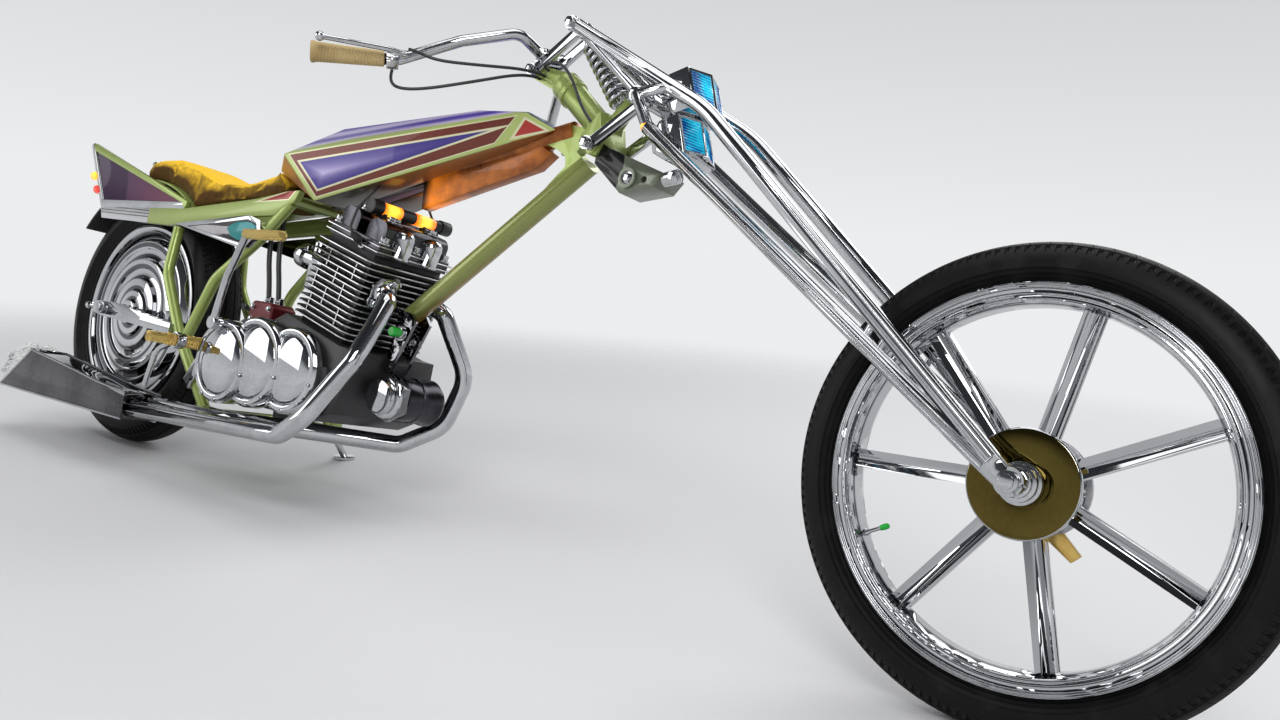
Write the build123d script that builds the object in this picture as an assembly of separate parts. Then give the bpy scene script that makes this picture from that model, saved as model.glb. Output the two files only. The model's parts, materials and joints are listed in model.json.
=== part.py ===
from build123d import *
import os
from math import acos, atan2, cos, degrees, hypot, radians, sin, sqrt, tan

# Chopper motorcycle, long girder fork, forward-leaning parallel twin, coffin tank, winged tail.
# Every piece is drawn on the upright machine, in millimetres: +X forward, +Y to the rider's left,
# +Z up, with X = 0 at the rear axle. The whole machine is then leaned onto its side stand, and
# the origin moves to the floor under the middle of its bounding box.

# Stance
LEAN = 10.0                 # degrees to the left, on the side stand
WHEELBASE = 2250.0
REAR_TYRE_R = 328.0
REAR_CROWN_R = 59.0         # crown radius, also half the tyre's width
FRONT_TYRE_R = 345.0
FRONT_CROWN_R = 44.0

# Clearances
SEAT = 0.3                  # between pieces that bear on each other
RUN = 0.3                   # between a turning piece and what it turns on
YOKE_GAP = 4.0              # between the frame and the lower yoke that turns past it
YOKE_REACH = 64.0           # radius about the steering axis that the lower yoke and its links turn in

# Wheels
FRONT_RIM_R = 282.5
FRONT_RIM_W = 66.0
FRONT_RIM_INNER_R = 252.0
FRONT_BEAD_R = 268.0
REAR_RIM_R = 236.0
REAR_RIM_W = 92.0
REAR_RIM_INNER_R = 205.0
REAR_BEAD_R = 221.0
SPOKES = 7
SPOKE_W = 27.0
SPOKE_T = 30.0
HUB_R = 62.0
HUB_HALF = 36.0
HUB_DISC_R = 77.5
HUB_DISC_T = 8.0
AXLE_R = 10.0
FRONT_AXLE_HALF = 127.0
REAR_AXLE_HALF = 150.0
SPROCKET_R = 108.0
SPROCKET_T = 6.0
SPROCKET_Y = 84.0
CHAIN_T = 11.0
CHAIN_W = 13.0
DRIVE_SPROCKET_R = 38.0
DRIVE_SPROCKET_X = 600.0
DRIVE_SPROCKET_Z = 285.0

# Steering head
RAKE = 52.0                 # degrees from the vertical
STEER_X = 1325.0            # middle of the head tube
STEER_Z = 881.0
HEAD_TUBE_L = 120.0
HEAD_TUBE_R = 26.0
GUSSET_HALF = 13.0          # of the gusset between the head tube and the down tube
STEM_R = 13.0

# Girder fork
APEX = (1290.0, 37.0, 1036.0)
GIRDER_BEND = (1650.0, 86.0, 857.0)
GIRDER_BEND_R = 260.0
GIRDER_FOOT_Y = 104.0
REAR_LEG_TOP = (1541.0, 86.0, 822.0)
LOWER_PIVOT = (1500.0, 72.0, 884.0)
FRONT_LEG_R = 14.0
REAR_LEG_R = 13.0
STRUT_R = 9.0
UPPER_YOKE = (1190.0, 955.0)
LOWER_YOKE = (1389.0, 801.0)
LINK_W = 22.0
LINK_T = 8.0
UPPER_LINK_Y = 20.0
LOWER_LINK_Y = 50.0

# Main frame
BACKBONE_R = 20.0
BACKBONE_REAR = (645.0, 665.0)
BACKBONE_FRONT = (1310.0, 840.0)
DOWNTUBE_R = 21.0
DOWNTUBE_TOP = (1366.0, 783.0)
DOWNTUBE_FOOT = (958.0, 435.0)
BRACKET_Y = 24.0
BRACKET_T = 7.0
BRACKET_HOLE_R = 8.0
FRAME_TUBE_R = 13.0
FRAME_Y = 110.0
RAIL_Y = 92.0
RAIL_HALF = 8.0
STRUT_TOP = (189.0, 556.0)
STRUT_UPPER = (197.0, 440.0)
STRUT_LOWER = (314.0, 298.0)
STRUT_FOOT = (473.0, 146.0)

# Engine
ENGINE_HALF = 118.0
CYLINDER_TILT = 14.0        # degrees forward of upright
CYLINDER_BASE = (800.0, 372.0)
FIN_COUNT = 14
FIN_PITCH = 13.0
FIN_T = 3.2
FIN_L = 196.0
FIN_HALF = 112.0

REAR_AXLE_Z = REAR_TYRE_R
FRONT_MID_R = FRONT_TYRE_R - FRONT_CROWN_R
REAR_MID_R = REAR_TYRE_R - REAR_CROWN_R
FRONT_AXLE_Z = REAR_AXLE_Z + (FRONT_MID_R - REAR_MID_R) + (FRONT_CROWN_R - REAR_CROWN_R) / cos(radians(LEAN))
RIGHT, LEFT = -1, 1


def bar(start, end, radius):
    """A round bar between two points."""
    way = Vector(*end) - Vector(*start)
    return Plane(origin=start, z_dir=way) * Cylinder(
        radius, way.length, align=(Align.CENTER, Align.CENTER, Align.MIN))


def tube(points, radius, bend):
    """A round bar along straight runs, with an arc of radius bend at each inner point."""
    if len(points) == 2:
        return bar(points[0], points[1], radius)
    route = FilletPolyline(*points, radius=bend)
    return sweep(Plane(origin=route @ 0, z_dir=route % 0) * Circle(radius), path=route)


def disc(x, z, radius, y0, y1):
    """A round disc across the machine, from y0 to y1."""
    return Pos(x, (y0 + y1) / 2, z) * Rot(90, 0, 0) * Cylinder(radius, abs(y1 - y0))


def slab(outline, y0, y1):
    """A flat piece cut to an outline of (x, z) points, from y0 to y1."""
    low, high = min(y0, y1), max(y0, y1)
    face = Plane.XZ * make_face(Polyline(*outline, close=True))
    return Pos(0, high, 0) * extrude(face, amount=high - low)


def grown_slab(outline, y0, y1, gap):
    """The same flat piece with its outline grown by a gap, for cutting a seat."""
    low, high = min(y0, y1), max(y0, y1)
    face = offset(make_face(Polyline(*outline, close=True)), amount=gap, kind=Kind.INTERSECTION)
    return Pos(0, high, 0) * extrude(Plane.XZ * face, amount=high - low)


def turned(profile, x=0.0, z=0.0):
    """A ring or hub from a profile of (radius, y) points, turned about a cross axis at x, z."""
    return Pos(x, 0, z) * revolve(make_face(Polyline(*profile, close=True)), axis=Axis.Y)


def both(solid):
    """The piece and its mirror image on the other side."""
    return Compound(children=[solid, mirror(solid, about=Plane.XZ)])


def steering_point(along, forward=0.0, y=0.0):
    """A point by its distance down the steering axis and in front of it."""
    rake = radians(RAKE)
    return (STEER_X + along * sin(rake) + forward * cos(rake), y,
            STEER_Z - along * cos(rake) + forward * sin(rake))


def steering_slab(outline, half):
    """A flat piece across the machine from (along, forward) points about the steering axis."""
    return slab([steering_point(along, forward)[::2] for along, forward in outline], -half, half)


def steering_bar(radius, along0, along1):
    """A bar on the steering axis."""
    return bar(steering_point(along0), steering_point(along1), radius)


# Wheels


def tyre(mid_r, crown_r, bead_r, rim_half, flange_r):
    """A closed tyre: round crown, bulging wall, straight bead between the rim's flanges."""
    wall = rim_half - SEAT
    profile = Polyline((mid_r, -crown_r), (flange_r + 2, -wall), (bead_r + SEAT, -wall),
                       (bead_r + SEAT, wall), (flange_r + 2, wall), (mid_r, crown_r))
    crown = ThreePointArc((mid_r, crown_r), (mid_r + crown_r, 0), (mid_r, -crown_r))
    return revolve(make_face([*profile.edges(), *crown.edges()]), axis=Axis.Y)


def rim(flange_r, bead_r, inner_r, half, lip):
    """A stepped rim: bead seats, drop well and rings on its face."""
    step = (bead_r - inner_r) / 4
    side = [(flange_r, half), (flange_r, half - lip), (bead_r, half - lip), (bead_r, half * 0.45),
            (bead_r - step, half * 0.36)]
    face = [(inner_r, half * 0.36), (inner_r + step, half * 0.62), (inner_r + 1.4 * step, half * 0.9),
            (inner_r + 2.4 * step, half * 0.86), (bead_r - step, half * 1.0), (bead_r, half * 0.9),
            (bead_r + step, half)]
    profile = side + [(r, -y) for r, y in reversed(side)]
    profile += [(r, -y) for r, y in reversed(face)] + face
    return revolve(make_face(Polyline(*profile, close=True)), axis=Axis.Y)


FRONT_LIP = 5.0
REAR_LIP = 6.0


def front_tyre():
    body = tyre(FRONT_MID_R, FRONT_CROWN_R, FRONT_BEAD_R, FRONT_RIM_W / 2 - FRONT_LIP, FRONT_RIM_R)
    return Pos(WHEELBASE, 0, FRONT_AXLE_Z) * body


def spoke_section():
    """Section of a spoke: a bar with a V channel along each face."""
    w, t = SPOKE_W / 2, SPOKE_T / 2
    return make_face(Polyline((-w, -t), (0, -t * 0.35), (w, -t), (w * 0.8, 0), (w, t), (0, t * 0.35),
                              (-w, t), (-w * 0.8, 0), close=True))


def front_wheel():
    """Seven channelled spokes between a drum hub and a stepped rim, welded into one piece."""
    hub = turned([(AXLE_R + RUN, -HUB_HALF), (HUB_R, -HUB_HALF), (HUB_R + 6, -HUB_HALF + 6),
                  (HUB_R, -HUB_HALF + 14), (HUB_R, HUB_HALF - 14), (HUB_R + 6, HUB_HALF - 6),
                  (HUB_R, HUB_HALF), (AXLE_R + RUN, HUB_HALF)])
    spoke = extrude(Plane(origin=(HUB_R - 4, 0, 0), x_dir=(0, 0, 1), z_dir=(1, 0, 0)) * spoke_section(),
                    amount=FRONT_RIM_INNER_R - HUB_R + 7)
    whole = hub + rim(FRONT_RIM_R, FRONT_BEAD_R, FRONT_RIM_INNER_R, FRONT_RIM_W / 2, FRONT_LIP)
    for index in range(SPOKES):
        whole = whole + Rot(0, 75 + index * 360 / SPOKES, 0) * spoke
    return Pos(WHEELBASE, 0, FRONT_AXLE_Z) * whole


def front_hub_disc():
    """The flat polished disc on the right of the front hub."""
    y = -HUB_HALF - SEAT
    return Pos(WHEELBASE, 0, FRONT_AXLE_Z) * turned(
        [(AXLE_R + RUN, y), (HUB_DISC_R, y), (HUB_DISC_R, y - HUB_DISC_T + 2),
         (HUB_DISC_R - 2, y - HUB_DISC_T), (AXLE_R + RUN, y - HUB_DISC_T)])


def rear_tyre():
    body = tyre(REAR_MID_R, REAR_CROWN_R, REAR_BEAD_R, REAR_RIM_W / 2 - REAR_LIP, REAR_RIM_R)
    return Pos(0, 0, REAR_AXLE_Z) * body


def rear_wheel():
    """A rim closed on both sides by a spun disc with stepped rings, on one hub."""
    edge = REAR_RIM_W / 2
    rings = [(REAR_RIM_INNER_R + 4, edge - 12), (190, edge + 2), (172, edge + 2), (168, edge - 4),
             (146, edge), (142, edge + 8), (120, edge + 8), (116, edge + 3), (96, edge + 6),
             (92, edge + 14), (62, edge + 14), (56, edge + 20), (34, edge + 20), (30, edge + 30),
             (AXLE_R + RUN, edge + 30)]
    profile = rings + [(r, -y) for r, y in reversed(rings)]
    whole = turned(profile) + rim(REAR_RIM_R, REAR_BEAD_R, REAR_RIM_INNER_R, edge, REAR_LIP)
    return Pos(0, 0, REAR_AXLE_Z) * whole


def rear_sprocket():
    """The driven sprocket, with its teeth, on a carrier against the hub's left end."""
    hub_end = REAR_RIM_W / 2 + 30 + SEAT
    plate = Cylinder(SPROCKET_R - 5, SPROCKET_T)
    teeth = 40
    tooth = Pos(SPROCKET_R - 5, 0, 0) * Box(10, 8, SPROCKET_T - 2)
    tooth = chamfer(tooth.edges().filter_by(Axis.Z).group_by(Axis.X)[-1], 2.6)
    for index in range(teeth):
        plate = plate + Rot(0, 0, index * 360 / teeth) * tooth
    for index in range(5):
        plate = plate - Rot(0, 0, index * 72) * Pos(66, 0, 0) * Cylinder(17, SPROCKET_T + 2)
    plate = plate - Cylinder(AXLE_R + RUN, SPROCKET_T + 2)
    near, far = SPROCKET_Y - SPROCKET_T / 2, SPROCKET_Y + SPROCKET_T / 2
    carrier = disc(0, 0, 32, far, far + 6) - disc(0, 0, AXLE_R + RUN, far - 1, far + 7)
    if near > hub_end:
        carrier = carrier + disc(0, 0, 32, hub_end, near) - disc(0, 0, AXLE_R + RUN, hub_end - 1, near + 1)
    return Pos(0, 0, REAR_AXLE_Z) * (Pos(0, SPROCKET_Y, 0) * Rot(90, 0, 0) * plate + carrier)


def chain_loop(inner_front, inner_rear, y0, y1):
    """A solid bounded by a belt of the two radii round both sprockets."""
    dx, dz = DRIVE_SPROCKET_X, DRIVE_SPROCKET_Z - REAR_AXLE_Z
    run = hypot(dx, dz)
    tilt = degrees(atan2(dz, dx))
    spread = acos((inner_rear - inner_front) / run)
    points = []
    for centre, radius in ((0.0, inner_rear), (run, inner_front)):
        points.append((centre, radius, spread))
    top = [(c + r * cos(a), r * sin(a)) for c, r, a in points]
    low = [(x, -z) for x, z in top]
    rear = ThreePointArc(top[0], (-inner_rear, 0), low[0])
    front = ThreePointArc(low[1], (run + inner_front, 0), top[1])
    outline = [*rear.edges(), Line(low[0], low[1]).edge(), *front.edges(), Line(top[1], top[0]).edge()]
    body = extrude(make_face(outline), amount=y1 - y0)
    return Pos(0, y1, REAR_AXLE_Z) * Rot(0, -tilt, 0) * Rot(90, 0, 0) * body


def chain():
    """The drive chain as one loop that lies clear of the driven sprocket's teeth."""
    y0, y1 = SPROCKET_Y - CHAIN_W / 2, SPROCKET_Y + CHAIN_W / 2
    inner = SPROCKET_R + 5.5
    return (chain_loop(DRIVE_SPROCKET_R + CHAIN_T, inner + CHAIN_T, y0, y1)
            - chain_loop(DRIVE_SPROCKET_R, inner, y0 - 1, y1 + 1))


# Main frame


def head_tube():
    """Head tube with its bearing cups and the web below it."""
    half = HEAD_TUBE_L / 2
    body = steering_bar(HEAD_TUBE_R, -half + 10, half - 10)
    for end in (-1, 1):
        body = body + steering_bar(HEAD_TUBE_R + 4, end * half, end * (half - 12))
    body = body - steering_bar(STEM_R + RUN, -half - 1, half + 1)
    web = slab([(1352, 842), (1296, 850), (1240, 813), (1282, 800), (1304, 787), (1309, 768), (1268, 722),
                (1330, 740), (1372, 786)], -GUSSET_HALF, GUSSET_HALF)
    web = web - steering_bar(STEM_R + 4, -half - 20, half + 40)
    web = web - backbone_run(SEAT) - downtube_run(SEAT) - ahead_of_head()
    return body + web


def ahead_of_head():
    """The space below the head tube's lower end, where the yoke turns."""
    start = HEAD_TUBE_L / 2 - YOKE_GAP
    ahead = steering_slab([(start, 0), (start, 160), (start + 160, 160), (start + 160, 0)], 90)
    return ahead + steering_bar(YOKE_REACH, start, start + 160)


def backbone_run(grow=0.0):
    (x0, z0), (x1, z1) = BACKBONE_REAR, BACKBONE_FRONT
    return bar((x0, 0, z0), (x1, 0, z1), BACKBONE_R + grow)


def downtube_run(grow=0.0):
    (x0, z0), (x1, z1) = DOWNTUBE_FOOT, DOWNTUBE_TOP
    return bar((x0, 0, z0), (x1, 0, z1), DOWNTUBE_R + grow)


def backbone():
    """The single top tube with the flat fairing panel under it."""
    (x0, z0), (x1, z1) = BACKBONE_REAR, BACKBONE_FRONT
    panel = slab([(930, 728), (1236, 809), (1268, 792), (1236, 762), (940, 664)], -13, 13)
    whole = backbone_run() + panel
    whole = whole - steering_bar(HEAD_TUBE_R + 4 + SEAT, -HEAD_TUBE_L, HEAD_TUBE_L)
    return whole


def downtube():
    """The single down tube with drilled twin plates at its foot, either side of the engine's lug."""
    whole = downtube_run() - steering_bar(HEAD_TUBE_R + 4 + SEAT, -HEAD_TUBE_L, HEAD_TUBE_L)
    whole = whole - ahead_of_head()
    outline = [(985, 442), (1000, 424), (968, 352), (956, 312), (938, 310), (938, 352), (942, 400),
               (946, 446)]
    for side in (RIGHT, LEFT):
        plate = slab(outline, side * (BRACKET_Y - BRACKET_T), side * BRACKET_Y)
        whole = whole + plate + disc(947, 326, 8, side * (BRACKET_Y - 1), side * (BRACKET_Y + 5))
    return whole - disc(962, 384, BRACKET_HOLE_R, -60, 60)


def rail(side):
    """One side of the seat rail: a tapering box from the tail to the tank."""
    outline = [(-185, 586), (-172, 558), (152, 558), (470, 598), (560, 606), (628, 640), (640, 668),
               (600, 664), (480, 640), (200, 603)]
    y = side * RAIL_Y
    return slab(outline, y - side * RAIL_HALF, y + side * RAIL_HALF)


def seat_rails():
    """Seat rails, the cross tubes between them and the rear end of the top tube."""
    whole = rail(RIGHT) + rail(LEFT)
    for x, z in ((262, 584), (612, 646)):
        whole = whole + disc(x, z, 9, -RAIL_Y + RAIL_HALF - 1, RAIL_Y - RAIL_HALF + 1)
    return whole - backbone_run(SEAT)


def strut_route(side):
    lean_in = {STRUT_TOP: RAIL_Y, STRUT_UPPER: FRAME_Y - 8, STRUT_LOWER: FRAME_Y, STRUT_FOOT: FRAME_Y}
    return [(x, side * y, z) for (x, z), y in lean_in.items()]


def rear_strut():
    """The bent tube that carries the tail and runs down to the lower rail, on the right."""
    side = tube(strut_route(RIGHT), FRAME_TUBE_R, 70)
    return side - slab([(-200, 557.7), (640, 557.7), (640, 680), (-200, 680)], -60, -130)


def stay_route(side):
    return [(612, side * RAIL_Y, 640), (524, side * RAIL_Y, 552), (404, side * (FRAME_Y - 4), 444),
            (352, side * FRAME_Y, 318), (338, side * FRAME_Y, 292)]


def rear_frame():
    """Each side's bent strut, and the curved stay with its gusset that joins it from the tank."""
    whole = tube(stay_route(RIGHT), FRAME_TUBE_R, [80, 90, 20])
    whole = whole + slab([(470, 597.7), (560, 605.7), (600, 624), (560, 572), (524, 548), (500, 566)],
                         -RAIL_Y - 4, -RAIL_Y + 4)
    whole = whole - slab([(-185, 586), (-172, 557.7), (152, 557.7), (470, 597.7), (560, 605.7), (630, 639),
                          (650, 668), (600, 720)], -RAIL_Y - 14, -RAIL_Y + 14)
    return both(whole + rear_strut())


RAIL_FRONT_X = 645.0
RAIL_Z = 144.0


def stand_point(along, out=0.0):
    """A point near the stand's pivot: along its pin, then out along the leg."""
    pin, leg = stand_pin(), stand_leg()
    return tuple(STAND_EYE[i] + pin[i] * along + leg[i] * out for i in range(3))


def lower_rails():
    """The rails under the engine, the cross tubes that tie them and the side stand's lug."""
    side = bar((STRUT_FOOT[0] - 10, -FRAME_Y, RAIL_Z), (RAIL_FRONT_X + 12, -FRAME_Y, RAIL_Z), FRAME_TUBE_R)
    whole = both(side)
    for x in (500, RAIL_FRONT_X):
        whole = whole + disc(x, RAIL_Z, 11, -FRAME_Y + 3, FRAME_Y - 3)
    eye = STAND_EYE_H / 2 + SEAT
    x, y, z = STAND_EYE
    block = slab([(x + 4, z - 17), (x + 36, z - 17), (x + 36, z + 17), (x + 4, z + 17)], FRAME_Y + 6, y + 8)
    whole = whole + (block - bar(stand_point(-eye), stand_point(eye), STAND_EYE_R + 2))
    for along in (eye, -eye - 6):
        lug = bar(stand_point(along), stand_point(along + 6), 14)
        whole = whole + lug
    whole = whole + bar(stand_point(-eye - 9), stand_point(eye + 9), STAND_PIN_R)
    whole = whole - tube(strut_route(RIGHT), FRAME_TUBE_R + SEAT, 70)
    whole = whole - tube(strut_route(LEFT), FRAME_TUBE_R + SEAT, 70)
    return whole


STAY_Y = 124.0
STAY_HALF = 8.0


def chain_stays():
    """Square stays from the struts to the axle, with slotted ends and adjusters."""
    z = REAR_AXLE_Z
    outline = [(-58, z + 14), (-58, z - 14), (-20, z - 20), (300, 298), (300, 322), (30, z + 18)]
    side = slab(outline, -STAY_Y - STAY_HALF, -STAY_Y + STAY_HALF)
    side = side - disc(0, z, AXLE_R + SEAT, -STAY_Y - STAY_HALF - 1, -STAY_Y + STAY_HALF + 1)
    side = side + bar((-58, -STAY_Y, z), (-96, -STAY_Y, z - 2), 5) + bar((-84, -STAY_Y, z - 1), (-96, -STAY_Y, z - 2), 9)
    side = side - tube(strut_route(RIGHT), FRAME_TUBE_R + SEAT, 70)
    return both(side)


def rear_axle():
    """The rear spindle, its spacers against the hub and its end nuts."""
    whole = disc(0, REAR_AXLE_Z, AXLE_R, -REAR_AXLE_HALF, REAR_AXLE_HALF)
    hub_end = REAR_RIM_W / 2 + 30
    for side in (RIGHT, LEFT):
        inner = hub_end if side == RIGHT else SPROCKET_Y + SPROCKET_T / 2 + 6
        whole = whole + disc(0, REAR_AXLE_Z, 17, side * (inner + RUN), side * (STAY_Y - STAY_HALF - SEAT))
        whole = whole + disc(0, REAR_AXLE_Z, 16, side * (STAY_Y + STAY_HALF + SEAT), side * (STAY_Y + 20))
    return whole


# Tank, seat and tail

TANK_HALF = 119.0
TANK_WIDEST_X = 585.0
TANK_TAPER = 0.104


def tank_body():
    """The coffin tank's closed shape: flat sides, humped crown and pointed nose."""
    def flank(x, z):
        return (x, TANK_HALF - TANK_TAPER * (x - TANK_WIDEST_X), z)

    half = {
        "rear_top": flank(585, 743), "rear_low": flank(705, 646), "front_top": flank(1222, 860),
        "front_low": flank(1189, 798), "nose": (1276, 22, 836), "crown_rear": (577, 60, 781),
        "hump_rear": (673, 40, 826), "hump_front": (1081, 40, 869), "crown_front": (1205, 30, 869),
        "tail": (536, 84, 712),
    }
    side_faces = [
        ("rear_top", "rear_low", "front_low", "front_top"), ("front_top", "front_low", "nose"),
        ("rear_top", "front_top", "hump_front"), ("front_top", "crown_front", "hump_front"),
        ("rear_top", "hump_front", "hump_rear"), ("rear_top", "hump_rear", "crown_rear"),
        ("front_top", "nose", "crown_front"), ("rear_top", "crown_rear", "tail"),
        ("rear_top", "tail", "rear_low"),
    ]
    spine = ["crown_rear", "hump_rear", "hump_front", "crown_front", "nose", "front_low", "rear_low", "tail"]
    faces = []
    for side in (RIGHT, LEFT):
        for names in side_faces:
            faces.append([(x, side * y, z) for x, y, z in (half[name] for name in names)])
    for first, second in zip(spine, spine[1:] + spine[:1]):
        (x0, y0, z0), (x1, y1, z1) = half[first], half[second]
        faces.append([(x0, y0, z0), (x1, y1, z1), (x1, -y1, z1), (x0, -y0, z0)])
    shell = Shell([Face(Wire.make_polygon([Vector(*point) for point in face])) for face in faces])
    return Solid(shell)


def tank():
    """The tank with the tunnel that lets it straddle the top tube."""
    (x0, z0), (x1, z1) = BACKBONE_REAR, BACKBONE_FRONT
    reach = BACKBONE_R + SEAT
    behind = z0 - 150 * (z1 - z0) / (x1 - x0)
    tunnel = slab([(x0 - 150, behind), (x1, z1), (x1, z1 - 140), (x0 - 150, behind - 140)], -reach, reach)
    tunnel = tunnel + bar((x0 - 150, 0, behind), (x1, 0, z1), reach)
    return tank_body() - tunnel


def seat_outline():
    """The seat's side: rear hump, dip and the rise to the tank."""
    top = Spline((-44, 668), (-40, 712), (20, 731), (90, 727), (180, 712), (250, 690), (304, 675),
                 (366, 672), (430, 682), (490, 698), (548, 722))
    base = Polyline((548, 722), (574, 668), (500, 650), (200, 612), (-44, 612), (-44, 668))
    return make_face([*top.edges(), *base.edges()])


def seat():
    """The upholstered seat: a rear hump between the fins, then wider, hollowed over the fender."""
    pad = Pos(0, SEAT_HALF, 0) * extrude(Plane.XZ * seat_outline(), amount=2 * SEAT_HALF)
    for side in (RIGHT, LEFT):
        pad = pad - slab([(-100, 560), (206, 560), (206, 800), (-100, 800)], side * HUMP_HALF, side * 140)
    pad = pad - disc(0, REAR_AXLE_Z, FENDER_R + FENDER_T + SEAT, -150, 150)
    body = tank_body()
    return pad - body - Pos(-2 * SEAT, 0, 0) * body


SEAT_HALF = 88.0
HUMP_HALF = 74.0
FENDER_R = REAR_TYRE_R + 14.0
FENDER_T = 5.0
FENDER_HALF = 78.0
FENDER_FRONT = 42.9         # degrees ahead of the top where the fender ends
FENDER_REAR = 54.7          # degrees behind the top
BASE_REAR = 36.2            # where the flat base under the seat starts


def fender_point(angle, radius):
    """A point at a radius about the rear axle, by its angle ahead of the top."""
    return (radius * sin(radians(angle)), REAR_AXLE_Z + radius * cos(radians(angle)))


def tail_base():
    """The fender over the rear tyre, carried on into the flat base under the seat."""
    outer = FENDER_R + FENDER_T
    arch = (disc(0, REAR_AXLE_Z, outer, -FENDER_HALF, FENDER_HALF)
            - disc(0, REAR_AXLE_Z, FENDER_R, -FENDER_HALF - 1, FENDER_HALF + 1))
    sector = slab([(0, REAR_AXLE_Z), fender_point(-FENDER_REAR, 2 * outer), fender_point(0, 2 * outer),
                   fender_point(FENDER_FRONT, 2 * outer)], -90, 90)
    half = RAIL_Y - RAIL_HALF - SEAT
    rear = fender_point(BASE_REAR, FENDER_R - 7)
    outline = [rear, (470, 641), (560, 652), (572, 667), (500, 649.7), fender_point(BASE_REAR, outer)]
    base = slab(outline, -half, half) - disc(0, REAR_AXLE_Z, FENDER_R, -90, 90)
    return (arch & sector) + base


FIN_OUTLINE = [(-309, 754), (-198, 590), (-185, 586.3), (198, 603.3), (204, 622), (-296, 760)]


def tail_fins():
    """A raked triangular fin each side: a rim bar round a thin panel."""
    inner = [(-284, 738), (-196, 608), (172, 620)]
    ring = slab(FIN_OUTLINE, -RAIL_Y + 11, -RAIL_Y - 3) - slab(inner, -RAIL_Y + 20, -RAIL_Y - 10)
    panel = slab(inner, -RAIL_Y + 2, -RAIL_Y + 6)
    return both(ring + panel)


WEDGE_T = 18.0
WEDGE_SUNK = 4.0


def side_wedges():
    """The bright wedge cover under the rail on each side, with a sunk panel in its face."""
    y = RAIL_Y + RAIL_HALF + SEAT
    outer = y + WEDGE_T
    wedge = slab([(212, 562), (500, 599), (546, 590), (552, 570), (510, 526), (490, 522)], -y, -outer)
    wedge = wedge - slab([(262, 559), (500, 588), (532, 582), (538, 570), (504, 538), (490, 535)],
                         -outer + WEDGE_SUNK, -outer - 1)
    wedge = wedge - tube(stay_route(RIGHT)[:-1], FRAME_TUBE_R + SEAT, 90)
    return both(wedge)


def tail_lamps():
    """Two round lamps on the rear edge of each fin."""
    whole = None
    for x, z in ((-250, 672), (-222, 636)):
        lamp = bar((x - 22, -RAIL_Y + 4, z - 2), (x + 14, -RAIL_Y + 4, z), 12)
        whole = lamp if whole is None else whole + lamp
    fin = slab(FIN_OUTLINE, -RAIL_Y + 30, -RAIL_Y - 30)
    whole = whole - fin - Pos(-SEAT, 0, 0) * fin
    return both(whole)


# Engine


def engine_tilt(s, forward=0.0):
    """A point by its height up the cylinders' axis and its distance in front of it."""
    tilt = radians(CYLINDER_TILT)
    return (CYLINDER_BASE[0] + s * sin(tilt) + forward * cos(tilt),
            CYLINDER_BASE[1] + s * cos(tilt) - forward * sin(tilt))


def tilted(solid):
    """Sets a piece drawn about the cylinders' axis onto the engine."""
    return Pos(CYLINDER_BASE[0], 0, CYLINDER_BASE[1]) * Rot(0, CYLINDER_TILT, 0) * solid


def crankcase():
    """Crankcase and gearbox as one closed mass, with the drive sprocket in its left pocket."""
    outline = [(500, 330), (520, 206), (600, 186), (860, 186), (906, 208), (930, 262), (930, 345),
               engine_tilt(0, 98), engine_tilt(0, -98), (660, 372), (560, 366)]
    body = slab(outline, -ENGINE_HALF, ENGINE_HALF)
    flange = slab([(560, 300), (880, 300), (905, 250), (880, 200), (580, 200), (545, 240)],
                  -ENGINE_HALF - 10, ENGINE_HALF + 10)
    body = body + flange
    body = body - slab([(480, 150), (668, 150), (668, 420), (480, 420)], POCKET_Y, 160)
    body = body + disc(DRIVE_SPROCKET_X, DRIVE_SPROCKET_Z, DRIVE_SPROCKET_R - SEAT, SPROCKET_Y - 3, SPROCKET_Y + 3)
    body = body + disc(DRIVE_SPROCKET_X, DRIVE_SPROCKET_Z, 15, POCKET_Y - 2, SPROCKET_Y + 9)
    for side in (RIGHT, LEFT):
        body = body + slab([(625, 190), (668, 190), (RAIL_FRONT_X + 14, RAIL_Z), (RAIL_FRONT_X - 14, RAIL_Z)],
                           side * 30, side * 44)
    body = body - disc(RAIL_FRONT_X, RAIL_Z, 11 + SEAT, -80, 80)
    reach = BRACKET_Y - BRACKET_T - SEAT
    lug = slab([(925, 300), (954, 306), (962, 332), (948, 352), (925, 350)], -reach, reach)
    return body + lug


POCKET_Y = 66.0


def cylinder_block():
    """Finned barrels and head in one stack: a core and a loop of thin fins."""
    height = FIN_COUNT * FIN_PITCH
    core = Box(150, 190, height + 16 - SEAT, align=(Align.CENTER, Align.CENTER, Align.MIN))
    whole = Pos(0, 0, SEAT) * core
    for index in range(FIN_COUNT):
        grow = 0 if index < FIN_COUNT - 5 else 8
        fin = Box(FIN_L + grow, 2 * FIN_HALF + grow, FIN_T)
        fin = fillet(fin.edges().filter_by(Axis.Z), 22)
        whole = whole + Pos(0, 0, 14 + index * FIN_PITCH) * fin
    return tilted(whole)


HEAD_DECK_S = FIN_COUNT * FIN_PITCH + 16 + SEAT + 26


def cylinder_head():
    """Rocker boxes on the head, with their inspection caps."""
    z0 = HEAD_DECK_S - 26
    deck = Pos(0, 0, z0) * Box(168, 196, 26, align=(Align.CENTER, Align.CENTER, Align.MIN))
    whole = deck
    for x in (-46, 46):
        box = Pos(x, 0, z0 + 26) * Box(60, 176, 44, align=(Align.CENTER, Align.CENTER, Align.MIN))
        box = fillet(box.edges().filter_by(Axis.Y).group_by(Axis.Z)[-1], 20)
        whole = whole + box
        for y in (-52, 52):
            whole = whole + Pos(x, y, z0 + 64) * Cylinder(19, 16)
    return tilted(whole)


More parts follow.
